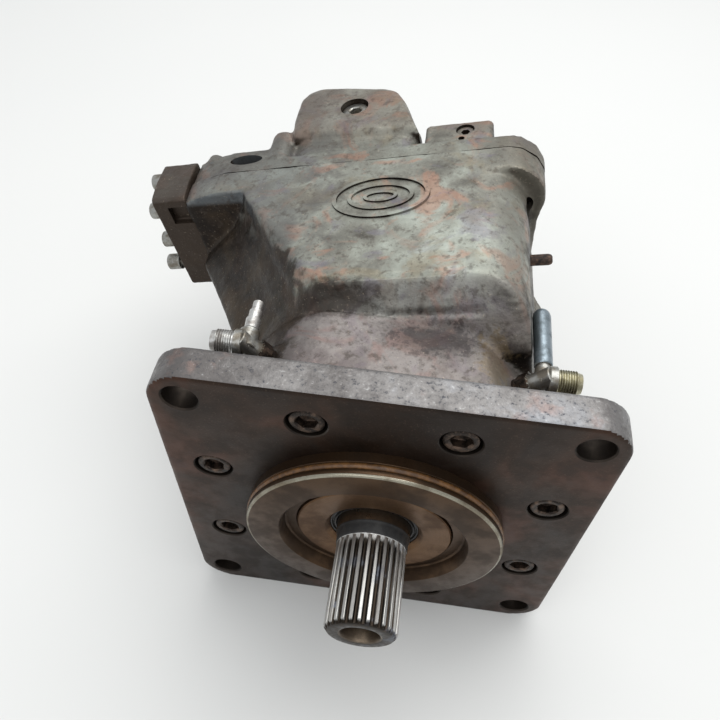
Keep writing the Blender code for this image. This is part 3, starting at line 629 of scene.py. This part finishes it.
def screw_black_and_stem_shade():
    """Oiled black screws with brown rims; the fittings' stems take it as painted shade."""
    f = Finish("screw_black_and_stem_shade", metallic=0.8, roughness=0.4)
    patch = f.noise(5, 4, 0.6)
    fine = f.noise(0.9, 4, 0.6)
    colour = f.ramp(
        patch,
        (0.38, srgb(34, 29, 26)),
        (0.52, srgb(58, 49, 43)),
        (0.66, srgb(92, 76, 65)),
    )
    colour = f.mix(f.remap(fine, 0.55, 0.7, 0.0, 0.4), colour, srgb(130, 112, 98))
    f.colour(colour)
    f.gloss(f.remap(fine, 0.35, 0.65, 0.3, 0.5))
    return f.bump((patch, 0.08), (fine, 0.05))


def plated(name, base, tint):
    """Zinc-plated fitting with dull patches."""
    f = Finish(name, metallic=0.9, roughness=0.35)
    patch = f.noise(7, 5, 0.6)
    fine = f.noise(1.0, 4, 0.6)
    colour = f.mix(f.remap(patch, 0.4, 0.62), base, tint)
    colour = f.mix(f.remap(fine, 0.56, 0.72, 0.0, 0.5), colour, srgb(84, 80, 74))
    f.colour(colour)
    f.gloss(f.remap(patch, 0.35, 0.65, 0.28, 0.5))
    return f.bump((patch, 0.06), (fine, 0.05))


def rubber(name, dark, light):
    f = Finish(name, roughness=0.5)
    patch = f.noise(4, 4, 0.6)
    fine = f.noise(0.7, 3, 0.6)
    f.colour(f.mix(f.remap(patch, 0.35, 0.7), dark, light))
    f.gloss(f.remap(fine, 0.35, 0.65, 0.32, 0.6))
    return f.bump((fine, 0.05))


def rusty(name):
    f = Finish(name, metallic=0.3, roughness=0.7)
    patch = f.noise(4, 5, 0.65)
    colour = f.ramp(
        patch, (0.38, srgb(34, 28, 25)), (0.52, srgb(66, 52, 44)), (0.66, srgb(110, 86, 70))
    )
    f.colour(colour)
    return f.bump((patch, 0.2))


HOUSING_SKIN = cast_skin("housing_skin")
COVER_SKIN = cast_skin("cover_skin", brown=0.25)
VALVE_SKIN = cast_skin("valve_skin", brown=0.75, dark=0.35)
REGULATOR_SKIN = cast_skin("regulator_skin", brown=0.22)
BORE_STEEL = machined("bore_steel", srgb(52, 45, 39), srgb(36, 31, 27), 0.45, 0.8)
PLATE_FACE = plate_face()
PLATE_EDGE = plate_edge()
PILOT_STEEL = machined("pilot_steel", srgb(80, 61, 44), srgb(58, 44, 32), 0.36, 0.85, centre=True)
RIM_STEEL = machined("rim_steel", srgb(150, 146, 132), srgb(118, 108, 92), 0.3, 0.95)
CARRIER_STEEL = machined("carrier_steel", srgb(112, 84, 58), srgb(84, 62, 44), 0.4, 0.85, centre=True)
SPLINE_STEEL = spline_steel()
SCREW_BLACK_AND_STEM_SHADE = screw_black_and_stem_shade()
ZINC_GREY = plated("zinc_grey", srgb(158, 158, 154), srgb(120, 114, 104))
ZINC_PALE = plated("zinc_pale", srgb(196, 196, 194), srgb(150, 146, 142))
CAP_BLUE = plated("cap_blue", srgb(136, 148, 156), srgb(106, 116, 122))
ZINC_YELLOW = plated("zinc_yellow", srgb(176, 172, 150), srgb(134, 128, 104))
BLACK_RUBBER = rubber("black_rubber", srgb(17, 17, 18), srgb(34, 33, 32))
AMBER_RUBBER = rubber("amber_rubber_ring", srgb(72, 48, 26), srgb(110, 76, 40))
RUSTY = rusty("rusty_steel")
GROUND_STEEL = machined("ground_steel", srgb(176, 174, 170), srgb(150, 146, 140), 0.25)
BRONZE = machined("oiled_bronze", srgb(184, 140, 84), srgb(150, 108, 62), 0.32)
SHAFT_STEEL = machined("shaft_steel", srgb(110, 98, 84), srgb(80, 70, 60), 0.32, 0.95)
SPRING_STEEL = machined("spring_steel", srgb(78, 74, 72), srgb(58, 54, 52), 0.4)


# ---------------------------------------------------------------- pieces


def piece(name, bm, matrix, finishes, stands_for, body="housing", pick=None):
    """A finished piece: pick chooses each face's finish from its middle and normal in millimetres."""
    bmesh.ops.recalc_face_normals(bm, faces=bm.faces)
    if pick:
        bm.normal_update()
        for face in bm.faces:
            face.material_index = pick(face.calc_center_median(), face.normal)
    mesh = bpy.data.meshes.new(name)
    bm.transform(matrix)
    bm.to_mesh(mesh)
    bm.free()
    mesh.shade_smooth()
    mesh.set_sharp_from_angle(angle=math.radians(SHARP_DEG))
    for finish in finishes if isinstance(finishes, tuple) else (finishes,):
        mesh.materials.append(finish)
    obj = bpy.data.objects.new(name, mesh)
    bpy.context.scene.collection.objects.link(obj)
    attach(obj, body)
    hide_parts(stands_for)
    return obj


def flange_screw_places(clock=0.0):
    """X and Z of the eight screws, seen from a frame clocked against the flange."""
    return circle(SCREW_CIRCLE_R, 8, math.radians(FIRST_SCREW_DEG - clock))


def cap_screw(head_r, head_h, shank_r, length):
    """Socket head screw about Y: the head's seat is at 0 and the shank points to +Y."""
    socket = head_r * 1.12
    wide = socket / 2 / math.cos(math.pi / 6) * 1.04
    profile = [
        (0, -head_h * 0.36), (hexagon(socket * 0.9, 48), -head_h * 0.42),
        (hexagon(socket, 48), -head_h * 0.46), (hexagon(socket, 48), 0.9 - head_h),
        (wide, 0.1 - head_h), (head_r - 1.5, -head_h), (head_r - 0.9, 0.12 - head_h),
        (head_r - 0.2, 0.7 - head_h), (head_r, 1.5 - head_h), (head_r, -0.4),
        (head_r - 0.4, 0), (shank_r, 0), (shank_r, length - 1), (shank_r - 1, length),
        (0, length),
    ]
    return turned(profile, 48)


def add_screws(name, node, places, size, finish):
    """One cap screw at each place, a matrix that turns millimetres into metres."""
    for i, place in enumerate(places):
        screw = cap_screw(*size)
        piece(f"{name}_{i + 1}", screw, place, finish, f"{node}_{i + 1}")


def make_flange():
    """Square plate with worn edges, its pilot, four bolt holes and eight counterbores."""
    half = PLATE_HALF - 0.3
    blank = along_y(rounded_box(-half, half, -half, half, 24, 12), 0.2, PLATE_THICK - 0.2)
    plate = cast(blank, 1.5, 2)
    plate.normal_update()
    for v in plate.verts:
        edge = 1 - abs(v.normal.y)
        dent = noise.noise(v.co / 9) * 0.22 + noise.noise(v.co / 3.1) * 0.12
        v.co += v.normal * min(dent * edge, 0.2)
        v.co += v.normal * noise.noise(v.co / 30) * 0.05
    pilot = [
        (0, -6.5), (57.4, -6.5), (58.6, -7.3), (60.6, -14.8), (61.3, -15.5), (80.8, -15.5),
        (81.9, -15.0), (PILOT_R, -14.0), (PILOT_R, -11.0), (82.1, -10.6), (79, -10.6),
        (79, -6.4), (82.1, -6.4), (PILOT_R, -6.0), (PILOT_R, 4), (0, 4),
    ]
    holes = bmesh.new()
    for x in (-BOLT_HALF, BOLT_HALF):
        for z in (-BOLT_HALF, BOLT_HALF):
            profile = [(11.3, -3), (11.3, 0.1), (10.3, 1.1), (10.3, 20.9), (11.3, 21.9), (11.3, 25)]
            turned(profile, 48, holes, x, z)
    for x, z in flange_screw_places():
        profile = [(12.8, -5), (12.8, 0.1), (12, 0.9), (12, 12), (8, 12), (8, 30)]
        turned(profile, 48, holes, x, z)
    bore = turned([(51.3, -20), (51.3, -6.6), (50.5, -5.8), (50.5, 30)], 128)
    plate = combined(
        plate, ("UNION", turned(pilot, 128)), ("DIFFERENCE", bore), ("DIFFERENCE", holes)
    )

    def pick(centre, normal):
        radius = math.hypot(centre.x, centre.z)
        in_hole = any(
            math.hypot(abs(centre.x) - abs(x), abs(centre.z) - abs(z)) < 13
            for x, z in [(BOLT_HALF, BOLT_HALF), *flange_screw_places()[:2]]
        )
        if radius > 80.9 and -15.6 < centre.y < -13.9 and radius < 83:
            return 4
        if radius < 83.5 and centre.y < -0.05:
            return 2
        if radius < 51.5 or (in_hole and 0.02 < centre.y < 21.9 and abs(normal.y) < 0.95):
            return 3
        outside = max(abs(centre.x), abs(centre.z)) > 130.5 or abs(normal.y) < 0.8
        return 1 if outside else 0

    piece(
        "mounting_flange",
        plate,
        PUMP,
        (PLATE_FACE, PLATE_EDGE, PILOT_STEEL, BORE_STEEL, RIM_STEEL),
        "flange_plate",
        pick=pick,
    )
    section = [(81.3 + 2 * u, -8.5 + 2 * v) for u, v in circle(1, 14)]
    ring = turned_ring(section, 144)
    piece("pilot_seal_ring", ring, PUMP, AMBER_RUBBER, "pilot_o_ring")
    places = [
        PUMP @ Matrix.Translation((x, 11.7, z)) @ Matrix.Rotation(math.radians(17 + 47 * i), 4, "Y")
        for i, (x, z) in enumerate(flange_screw_places())
    ]
    add_screws("flange_cap_screw", "flange_screw", places, (10.4, 10.5, 7, 22), SCREW_BLACK_AND_STEM_SHADE)


def make_seal():
    carrier = [
        (29, -5.4), (29.5, -6), (31.6, -8.1), (32.4, -8.5), (49.4, -8.5), (50.2, -7.8),
        (50.2, 14), (36, 14), (36, 4), (29, 4),
    ]
    ring = turned_ring(carrier, 128)
    piece("seal_carrier_ring", ring, PUMP, CARRIER_STEEL, "seal_carrier")
    seal = [
        (24.3, -4), (25.2, -4.9), (26.0, -5), (26.5, -3.6), (27.3, -3.4), (27.8, -4.6),
        (28.7, -4.8), (28.7, 2), (25, 2),
    ]
    piece("shaft_lip_seal", turned_ring(seal, 96), PUMP, BLACK_RUBBER, "shaft_seal")


def make_shaft():
    """The shaft in one skin: chamfered spline, run-out, journals and a centre bore."""
    teeth, per_tooth = 27, 10
    flank = ((-0.37, 20.2), (-0.3, 20.5), (-0.25, 21.3), (-0.2, 22.1), (-0.15, 22.3))
    flank += tuple((-share, radius) for share, radius in flank[::-1])
    count = teeth * per_tooth

    def spline(most, least=0.0):
        points = []
        for i in range(teeth):
            for share, radius in flank:
                turn = 2 * math.pi * (i + share) / teeth
                reach = max(min(radius, most), least)
                points.append((reach * math.cos(turn), reach * math.sin(turn)))
        return points

    profile = [
        (0, -50), (11.5, -51), (11.5, -73), (12.4, -74.6), (13.4, -75), (spline(19.4), -75),
        (spline(20.2), -74.6), (spline(22.3), -72.4), (spline(22.3), -26),
        (spline(22.3, 20.6), -24.4), (spline(22.3, 21.6), -22.4),
        (spline(22.3, 22.2), -20.6), (22.4, -20), (23, -19), (23, -14), (23.8, -12.4),
        (24, -11.6), (24, 20), (30.4, 20), (31, 20.6), (31, 51.4), (30.4, 52), (25.5, 52.4),
        (25, 54), (25, 150), (26, 152), (26, 228), (22, 230), (22, 261), (21, 262), (0, 262),
    ]
    bm = turned(profile, count)

    def pick(centre, normal):
        if -75.2 < centre.y < -19.5 and math.hypot(centre.x, centre.z) > 13.5:
            return 0
        return 2 if -19.5 <= centre.y < -4 else 1

    piece(
        "splined_shaft",
        bm,
        PUMP,
        (SPLINE_STEEL, SHAFT_STEEL, BLACK_RUBBER),
        "drive_shaft",
        body="rotor",
        pick=pick,
    )


def rear_outline():
    """The joint face of housing and end cover: four screw lugs and the valve's side."""
    top = [(105, -50), (103, 30), (109, 66), (115, 82), (115, 93), (110, 104)]
    top += [(99, 113), (90, PAD_TOP), (-128, PAD_TOP), (-146, 111.5), (-160, 107), (-160, 20)]
    lower_left = [(-126, 10), (-113, -10), (-113, -44), (-122, -62), (-126, -84), (-122, -99)]
    lower_left += [(-112, -109.5), (-96, FOOT_Z)]
    return top + lower_left + [(100, FOOT_Z), (112, -109.5), (118, -98), (118, -84)]


def cover_screw_places():
    return ((99.0, 83.0), (99.0, -96.0), (-100.0, -88.0), (-100.0, 83.0))


def valve_screw_places():
    """Y and Z of the four screws that hold the control valve block."""
    return ((254.0, 100.0), (232.0, 88.0), (229.0, 60.0), (220.0, 42.0))


def fitting_axis(side, clock=0.0):
    """Inward direction of a fitting's stem and the middle of its elbow."""
    (x, z), = turned_outline([(side * FITTING_X, FITTING_Z)], clock)
    return Vector((-x, 0, -z)).normalized(), Vector((x, FITTING_Y, z))


def neck_section(radius, y, top=NECK_TOP):
    """A circle flattened at the top, level with the flange, in the body frame."""
    outline = [(u, min(v, top)) for u, v in circle(radius, 120)]
    return [(x, y, z) for x, z in turned_outline(outline, -BODY_CLOCK)]


def upper_block():
    """The raised top of the casting, with its front ramp."""
    bm = along_y(rounded_box(-45, 103, 0, PAD_TOP, (2, 34, 2, 2), 10), 78, PAST_SEAM)
    trim(bm, Vector((0, 108, PAD_TOP)), Vector((0, -22, 15)).normalized())
    trim(bm, Vector((-32.8, 112, PAD_TOP)), Vector((-0.6, -0.49, 0.63)).normalized())
    return bm


def left_flank():
    """The casting's left side: steep under the top's edge, then flaring out to the valve's face."""
    back, right = PAST_SEAM, 10
    sections = []
    for z, near, far in (
        (PAD_TOP - 0.1, (-33, 112), (-105, 208)),
        (98, (-44, 103), (-112, 208)),
        (80, (-61, 99), (-126, 206)),
        (66, (-78, 98), (-145, 203)),
        (54, (-96, 93), (-159, 200)),
        (22, (-97, 93), (-159, 200)),
        (-12, (-99, 112), (-124, 206)),
    ):
        outline = (near, (right, near[1]), (right, back), (far[0], back), far)
        sections.append([(x, y, z) for x, y in outline])
    return loft(sections)


def oval_band(radii, width, rise):
    """A raised band round an oval of the badge, its flanks sloping."""
    low, high = PAD_TOP - 4, PAD_TOP + rise
    rings = []
    for shift, z in ((-width / 2, low), (-width / 3, high), (width / 3, high), (width / 2, low)):
        outline = [((radii[0] + shift) * u, (radii[1] + shift) * v) for u, v in circle(1, 72)]
        rings.append([(BADGE_CENTRE[0] + x, BADGE_CENTRE[1] + y, z) for x, y in outline])
    return ring_solid(rings)


def housing_shells():
    """The overlapping solids that melt into the housing's skin."""
    front = ((113, 24), (112.5, 45), (108, 88), (106, 95))
    barrel = ((90, 94), (94, 96), (112, 105.5), (PAST_SEAM, 105.5))
    collar = ((16, 120), (28, 118), (38, 108))
    shells = [
        loft([neck_section(r, y) for r, y in front]),
        loft([neck_section(105, y, top) for y, top in barrel]),
        upper_block(),
        left_flank(),
        loft([neck_section(121.5, y, top) for y, top in collar]),
        along_y(rounded_box(-30, 30, -122, -60, (10, 2, 2, 10), 6), 84, PAST_SEAM),
        along_y(rear_outline(), 212, PAST_SEAM),
    ]
    for side in (-1, 1):
        inward = fitting_axis(side, -BODY_CLOCK)[0]
        shells.append(rod(((11, -111), (11, -90)), Vector((0, FITTING_Y, 0)), inward, 32))
    return shells


def press_creases(skin):
    """Sinks a crease behind the neck's flat and one along the front of the pad."""
    skin.normal_update()
    to_pump = Matrix.Rotation(math.radians(-BODY_CLOCK), 3, "Y")
    for v in skin.verts:
        if v.co.z < 60 or v.normal.z < 0.3:
            continue
        flat = to_pump @ v.co
        if -57 < flat.x < 52:
            v.co.z -= 1.7 * max(0.0, 1 - abs(flat.y - NECK_CREASE_Y) / 2.4)
        if -33 < v.co.x < 62 and v.co.y < 114:
            v.co.z -= 1.4 * max(0.0, 1 - abs(v.co.y - PAD_CREASE_Y) / 2.2)


def housing_cavity():
    """The bearing seat and the case, wide enough for the tilting plate and the barrel."""
    profile = [
        (0, 10), (55.3, 10), (55.3, 48.3), (46, 48.3), (46, 56), (86, 56), (86, 262),
        (0, 262),
    ]
    return turned(profile, 96)


def cradle_seats():
    """Two blocks with round hollows, which carry the cradle's bearing shells."""
    radius = 61.6
    turns = [math.radians(-44 + 4.4 * i) for i in range(21)]
    arc = [(TILT_AXIS_Y - radius * math.cos(a), radius * math.sin(a)) for a in turns]
    outline = arc + [(53, arc[-1][1]), (53, arc[0][1])]
    return joined(along_x(outline, -64, -31), along_x(outline, 31, 64))


def housing_holes():
    """Holes for the flange's, cover's and valve's screws, the fittings and the stop pin."""
    holes = bmesh.new()
    for x, z in flange_screw_places(BODY_CLOCK):
        turned([(M14_HOLE_R, 10), (M14_HOLE_R, 34.4)], 24, holes, x, z)
    for x, z in cover_screw_places():
        turned([(M14_HOLE_R, 190), (M14_HOLE_R, 250)], 32, holes, x, z)
    for side in (-1, 1):
        inward = fitting_axis(side, -BODY_CLOCK)[0]
        rod(((M14_HOLE_R, -120), (M14_HOLE_R, -97)), Vector((0, FITTING_Y, 0)), inward, 24, holes)
    for y, z in valve_screw_places()[1:]:
        along_x([(y + u, z + v) for u, v in circle(M8_HOLE_R, 20)], -170, -142, holes)
    along_x([(190 + u, 47 + v) for u, v in circle(4.6, 24)], 97.5, 122, holes)
    return holes


def make_housing():
    skin = cast(joined(*housing_shells()), 1.6, 8)
    press_creases(skin)
    roughened(skin, (34, 0.7), (9, 0.28), (3.4, 0.12))
    ends = joined(
        box_solid((-200, -10, -200), (200, 22.3, 200)),
        box_solid((-200, SEAM - 0.3, -200), (200, 300, 200)),
    )
    badge = joined(
        oval_band((33.5, 21.5), 4.6, 1.5),
        oval_band((22.5, 13), 4.2, 1.3),
        oval_band((11, 4.8), 3.8, 1.3),
    )
    skin = combined(
        skin,
        ("UNION", badge),
        ("DIFFERENCE", ends),
        ("DIFFERENCE", housing_cavity()),
        ("DIFFERENCE", along_y(rounded_box(-15, 15, -117, -70, 3, 4), 98, 164)),
        ("DIFFERENCE", turned([(13, 150), (13, 224)], 48, x=0, z=-104)),
        ("UNION", cradle_seats()),
        ("DIFFERENCE", housing_holes()),
        solver="MANIFOLD",
    )

    def pick(centre, normal):
        radius = math.hypot(centre.x, centre.z)
        inside = radius < 87 and 22.5 < centre.y
        faced = abs(normal.y) > 0.999 and (centre.y < 22.5 or centre.y > SEAM - 0.5)
        return 1 if inside or faced else 0

    piece(
        "housing_casting", skin, BODY, (HOUSING_SKIN, BORE_STEEL), "main_housing", pick=pick
    )


def tower():
    """The rear tower over the suction port, its top edge well rounded."""
    plan = [(24, 266), (8, 314), (3, 325), (-6, 331), (-44, 341), (-69, 343)]
    plan += [(-79, 338), (-84, 328), (-84, 300), (-80, 272)]
    sections = []
    rim = ((115, 1, 1), (118, 3, 7), (119.5, 5.5, 13), (120, 9, 19))
    for z, inset, front in ((36, 0, 0), (112, 0, 0), *rim):
        outline = shrunk(plan, inset)
        sections.append([(x, max(y, 262 + front), z) for x, y in outline])
    return loft(sections)


def make_end_cover():
    rail = [(-84, 97), (-84, 114.6), (-127, 114.6), (-146, 111), (-159.7, 106.6), (-159.7, 24)]
    rail += [(-116, 24), (-116, 97)]
    shells = [
        along_y(rear_outline(), SEAM - 6, 252),
        along_y(rounded_box(-86, 22, -78, PAD_TOP - 1, (18, 16, 26, 18)), 240, 284),
        tower(),
        along_y(rounded_box(20.5, 104, -66, 30, 16), 240, 274),
        along_y(rail, 238, 265),
        turned([(11, 250), (11, 284), (10, 285)], 40, x=-89.5, z=106),
        turned([(6.5, 245), (6.5, 258)], 32, x=86.5, z=104),
        turned([(7.5, 258), (7.5, 268)], 32, x=-146, z=105.5),
    ]
    skin = roughened(cast(joined(*shells), 1.5, 6), (30, 0.6), (8, 0.25), (3.2, 0.12))
    front = box_solid((-250, 200, -200), (200, SEAM + 0.5, 200))
    inside = turned([(0, 230), (28.3, 230), (28.3, 264), (0, 264)], 64)
    ports = turned([(27, 258), (27, 283), (28.5, 285), (28.5, 300)], 64, x=-52, z=-24)
    turned([(16, 258), (16, 273), (17.5, 275), (17.5, 300)], 48, ports, 62, -18)
    kidneys = bmesh.new()
    for first in (-64, 116):
        turns = [math.radians(first + 8 * i) for i in range(17)]
        outline = [(63 * math.cos(a), 63 * math.sin(a)) for a in turns]
        outline += [(49 * math.cos(a), 49 * math.sin(a)) for a in turns[::-1]]
        along_y(outline, 230, 262, kidneys)
    holes = bmesh.new()
    suction = [(-52 + dx, -24 + dz) for dx in (-25.4, 25.4) for dz in (-44.5, 44.5)]
    pressure = [(62 + dx, -18 + dz) for dx in (-15.9, 15.9) for dz in (-33.3, 33.3)]
    for x, z in suction + pressure:
        turned([(5.2, 262), (5.2, 300)], 24, holes, x, z)
    for x, z in cover_screw_places():
        profile = [(M14_HOLE_R, 230), (M14_HOLE_R, 252.4), (11.6, 252.4), (11.6, 290)]
        turned(profile, 40, holes, x, z)
    y, z = valve_screw_places()[0]
    along_x([(y + u, z + v) for u, v in circle(M8_HOLE_R, 20)], -170, -142, holes)
    pocket = [(-114.5 + 13.5 * u, 252 + 6.5 * v) for u, v in circle(1, 48)]
    along_z(pocket, 103, 130, holes)
    along_z([(-32 + u, 305 + v) for u, v in circle(11.5, 48)], 108, 130, holes)
    skin = combined(
        skin,
        ("DIFFERENCE", front),
        ("DIFFERENCE", inside),
        ("DIFFERENCE", kidneys),
        ("DIFFERENCE", ports),
        ("DIFFERENCE", holes),
        solver="MANIFOLD",
    )

    def pick(centre, normal):
        return 1 if centre.y < SEAM + 0.7 and normal.y < -0.99 else 0

    piece("end_cover_casting", skin, BODY, (COVER_SKIN, BORE_STEEL), "end_cover", pick=pick)
    profile = [
        (0, 3), (hexagon(9, 48), 3), (hexagon(9, 48), 7.3), (5.6, 8), (9.6, 8), (10.6, 7.6),
        (11.2, 6.8), (11.2, 0.4), (10.8, 0), (0, 0),
    ]
    plug = turned(profile, 48)
    place = BODY @ Matrix.Translation((-32, 305, 108.3)) @ Matrix.Rotation(math.radians(90), 4, "X")
    piece("tower_screw_plug", plug, place, ZINC_GREY, "tower_plug")
    turn = Matrix.Rotation(math.pi, 4, "Z")
    places = [BODY @ Matrix.Translation((x, 252.6, z)) @ turn for x, z in cover_screw_places()]
    add_screws("cover_cap_screw", "end_cover_screw", places, (10.4, 12, 7, 34), SCREW_BLACK_AND_STEM_SHADE)


def make_control_valve():
    block = along_x(rounded_box(212.3, 261.7, 20.3, 111.7, 4), -189.7, -160.6)
    skin = roughened(cast(block, 0.9, 4), (12, 0.3), (3, 0.12))
    holes = along_x(rounded_box(207, 218, 88, 104, 2), -178, -150)
    for y, z in valve_screw_places():
        along_x([(y + u, z + v) for u, v in circle(M8_HOLE_R, 20)], -200, -150, holes)
    along_z([(-175 + u, 246 + v) for u, v in circle(6, 32)], 10, 93, holes)
    skin = combined(skin, ("DIFFERENCE", holes), solver="MANIFOLD")
    for v in skin.verts:
        v.co.x += VALVE_SKEW * max(0.0, 237 - v.co.y)
    piece("valve_body", skin, BODY, VALVE_SKIN, "control_valve_block")
    turn = Matrix.Rotation(math.radians(-90), 4, "Z")
    places = [BODY @ Matrix.Translation((-190.3, y, z)) @ turn for y, z in valve_screw_places()]
    add_screws("valve_cap_screw", "valve_screw", places, (6.8, 12, 4, 46), ZINC_GREY)


def make_regulator():
    block = along_y(rounded_box(27.3, 78.7, 40.3, PAD_TOP - 2.3, 4), 252.6, 276.7)
    skin = roughened(cast(block, 0.9, 3), (12, 0.25), (3, 0.1))
    holes = along_z([(58 + u, 267 + v) for u, v in circle(7, 40)], 104, 130)
    along_z([(55.5 + u, 256.2 + v) for u, v in circle(2.4, 24)], 106, 130, holes)
    plug = along_z(circle(6.4, 48), 103, 110.6)
    plug.transform(Matrix.Translation((58, 267, 0)))
    recess = along_z(hexagon(6, 48), 107, 112)
    recess.transform(Matrix.Translation((58, 267, 0)))
    skin = combined(
        skin, ("DIFFERENCE", holes), ("UNION", plug), ("DIFFERENCE", recess), solver="MANIFOLD"
    )
    piece("regulator_body", skin, BODY, REGULATOR_SKIN, "regulator_block")


def threaded(radius, start, end, pitch=1.5, depth=0.8):
    """Steps of a screw thread's ridges between two distances."""
    steps = []
    reach = start
    while reach + pitch <= end:
        steps.append((radius - depth, reach))
        steps += [(radius, reach + pitch * 0.4), (radius, reach + pitch * 0.6)]
        reach += pitch
    return steps + [(radius - depth, reach)]


def make_fitting(name, node, side, tail, finish, leg_finish):
    """Tee fitting: a stem into the housing, a threaded outlet to the side and a leg to the rear."""
    inward, middle = fitting_axis(side)
    reach = math.hypot(FITTING_X, FITTING_Z)
    stem = [(6, -7), (6.4, -6.4), (6.4, 7.6), (hexagon(15, 48), 8), (hexagon(15, 48), 15.6), (7.2, 16.5)]
    stem += [(7, 16.5), (7, reach - 98)]
    solid = rod(stem, middle, inward, 48)
    outlet = [(6, -3), (6, 2), (8.3, 2), (9, 2.6), (9, 6.9), (8.3, 7.5), (6.6, 7.5), (6.6, 8.6)]
    outlet += threaded(7.5, 8.7, 20.4) + [(6.2, 21.8)]
    side_arm = rod(outlet, middle, Vector((side, 0, 0)), 48)
    leg = loft([
        [(middle.x + u, y, middle.z + v) for u, v in circle(radius, 40)] for radius, y in tail
    ])
    bore = rod(((3.5, 6), (3.5, 30)), middle, Vector((side, 0, 0)), 32)
    solid = combined(solid, ("UNION", side_arm), ("UNION", leg), ("DIFFERENCE", bore))

    def pick(centre, normal):
        # Painted shade: the stem's hex and the stem into the housing take the black screw finish.
        if (centre - middle).dot(inward) > 7.8:
            return 2
        if centre.y > 70.3:
            return 3
        return 1 if abs(centre.x) > 98 else 0

    finishes = (ZINC_GREY, finish, SCREW_BLACK_AND_STEM_SHADE, leg_finish)
    piece(name, solid, PUMP, finishes, node, pick=pick)


def make_stop_pin():
    profile = [(0, 98), (4.2, 98), (4.2, 115.6), (4.0, 117), (3.4, 118.3), (2.2, 119), (0, 119)]
    turn = Matrix.Rotation(math.radians(-90), 4, "Z")
    pin = roughened(turned(profile, 32), (4, 0.12))
    place = BODY @ Matrix.Translation((0, 190, 47)) @ turn
    piece("stop_pin_stub", pin, place, RUSTY, "stop_pin")


def finish_inner_parts():
    """The parts inside keep their shape and take a worked metal finish."""
    finishes = {
        "machined_steel": GROUND_STEEL,
        "bronze": BRONZE,
        "dark_steel": SPRING_STEEL,
        "cast_iron": COVER_SKIN,
        "flange_steel": PLATE_FACE,
        "zinc": ZINC_GREY,
        "rubber": BLACK_RUBBER,
        "amber_rubber": AMBER_RUBBER,
    }
    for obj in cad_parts.values():
        for place in obj.material_slots:
            place.material = finishes[place.material.name.split(".")[0]]


# ---------------------------------------------------------------- stage


def make_camera():
    camera = bpy.data.objects.new("camera", bpy.data.cameras.new("camera"))
    bpy.context.scene.collection.objects.link(camera)
    right = CAMERA_RIGHT.normalized()
    back = CAMERA_BACK.normalized()
    up = back.cross(right).normalized()
    right = up.cross(back)
    turn = Matrix((right, up, back)).transposed().to_4x4()
    camera.matrix_world = Matrix.Translation(PUMP @ CAMERA_PLACE) @ turn
    camera.data.lens = CAMERA_LENS
    camera.data.clip_start = 0.01
    bpy.context.scene.camera = camera


def area_light(name, place, target, size, power, colour=(1, 1, 1)):
    light = bpy.data.objects.new(name, bpy.data.lights.new(name, "AREA"))
    bpy.context.scene.collection.objects.link(light)
    light.location = place
    light.rotation_euler = (Vector(target) - Vector(place)).to_track_quat("-Z", "Y").to_euler()
    light.data.shape = "RECTANGLE"
    light.data.size, light.data.size_y = size
    light.data.energy = power
    light.data.color = colour


def make_stage():
    bm = bmesh.new()
    bmesh.ops.create_grid(bm, x_segments=8, y_segments=8, size=6)
    mesh = bpy.data.meshes.new("floor")
    bm.to_mesh(mesh)
    bm.free()
    floor = bpy.data.objects.new("floor", mesh)
    bpy.context.scene.collection.objects.link(floor)
    paper = Finish("floor_paper", roughness=0.9)
    paper.colour(paper.mix(paper.noise(400, 2), (0.665, 0.672, 0.665, 1), (0.69, 0.695, 0.685, 1)))
    mesh.materials.append(paper.material)
    world = bpy.data.worlds.new("studio")
    bpy.context.scene.world = world
    world.use_nodes = True
    background = world.node_tree.nodes["Background"]
    background.inputs["Color"].default_value = (0.97, 0.985, 1.0, 1)
    background.inputs["Strength"].default_value = 0.78
    area_light("key", (0.3, 0.55, 1.7), (0.0, 0.05, 0.1), (1.8, 1.6), 24, (1.0, 0.99, 0.97))
    area_light("fill", (-0.2, -1.1, 1.4), (0.0, -0.3, 0.0), (1.6, 1.2), 7)
    bpy.context.scene.view_settings.view_transform = "Standard"


make_flange()
make_seal()
make_shaft()
make_housing()
make_end_cover()
make_control_valve()
make_regulator()
barbed = (
    (5.8, 56), (6.4, 56.6), (6.4, 69.5), (5.8, 70.4), (4.4, 72), (5, 79.6), (4.9, 80), (3.9, 80),
    (4.4, 86.8), (4.2, 87), (3.4, 87), (3.6, 94.6), (3.2, 95),
)
capped = (
    (5.0, 57), (5.5, 57.5), (5.5, 67.5), (4.9, 68), (4.3, 68), (4.3, 70), (5.2, 70), (5.7, 70.6),
    (5.9, 111), (5.4, 113.6), (4.4, 115.2), (3.2, 115.5),
)
make_fitting("left_tee_fitting", "left_fitting", -1, barbed, ZINC_PALE, ZINC_PALE)
make_fitting("right_tee_fitting", "right_fitting", 1, capped, ZINC_YELLOW, CAP_BLUE)
make_stop_pin()
finish_inner_parts()
make_camera()
make_stage()
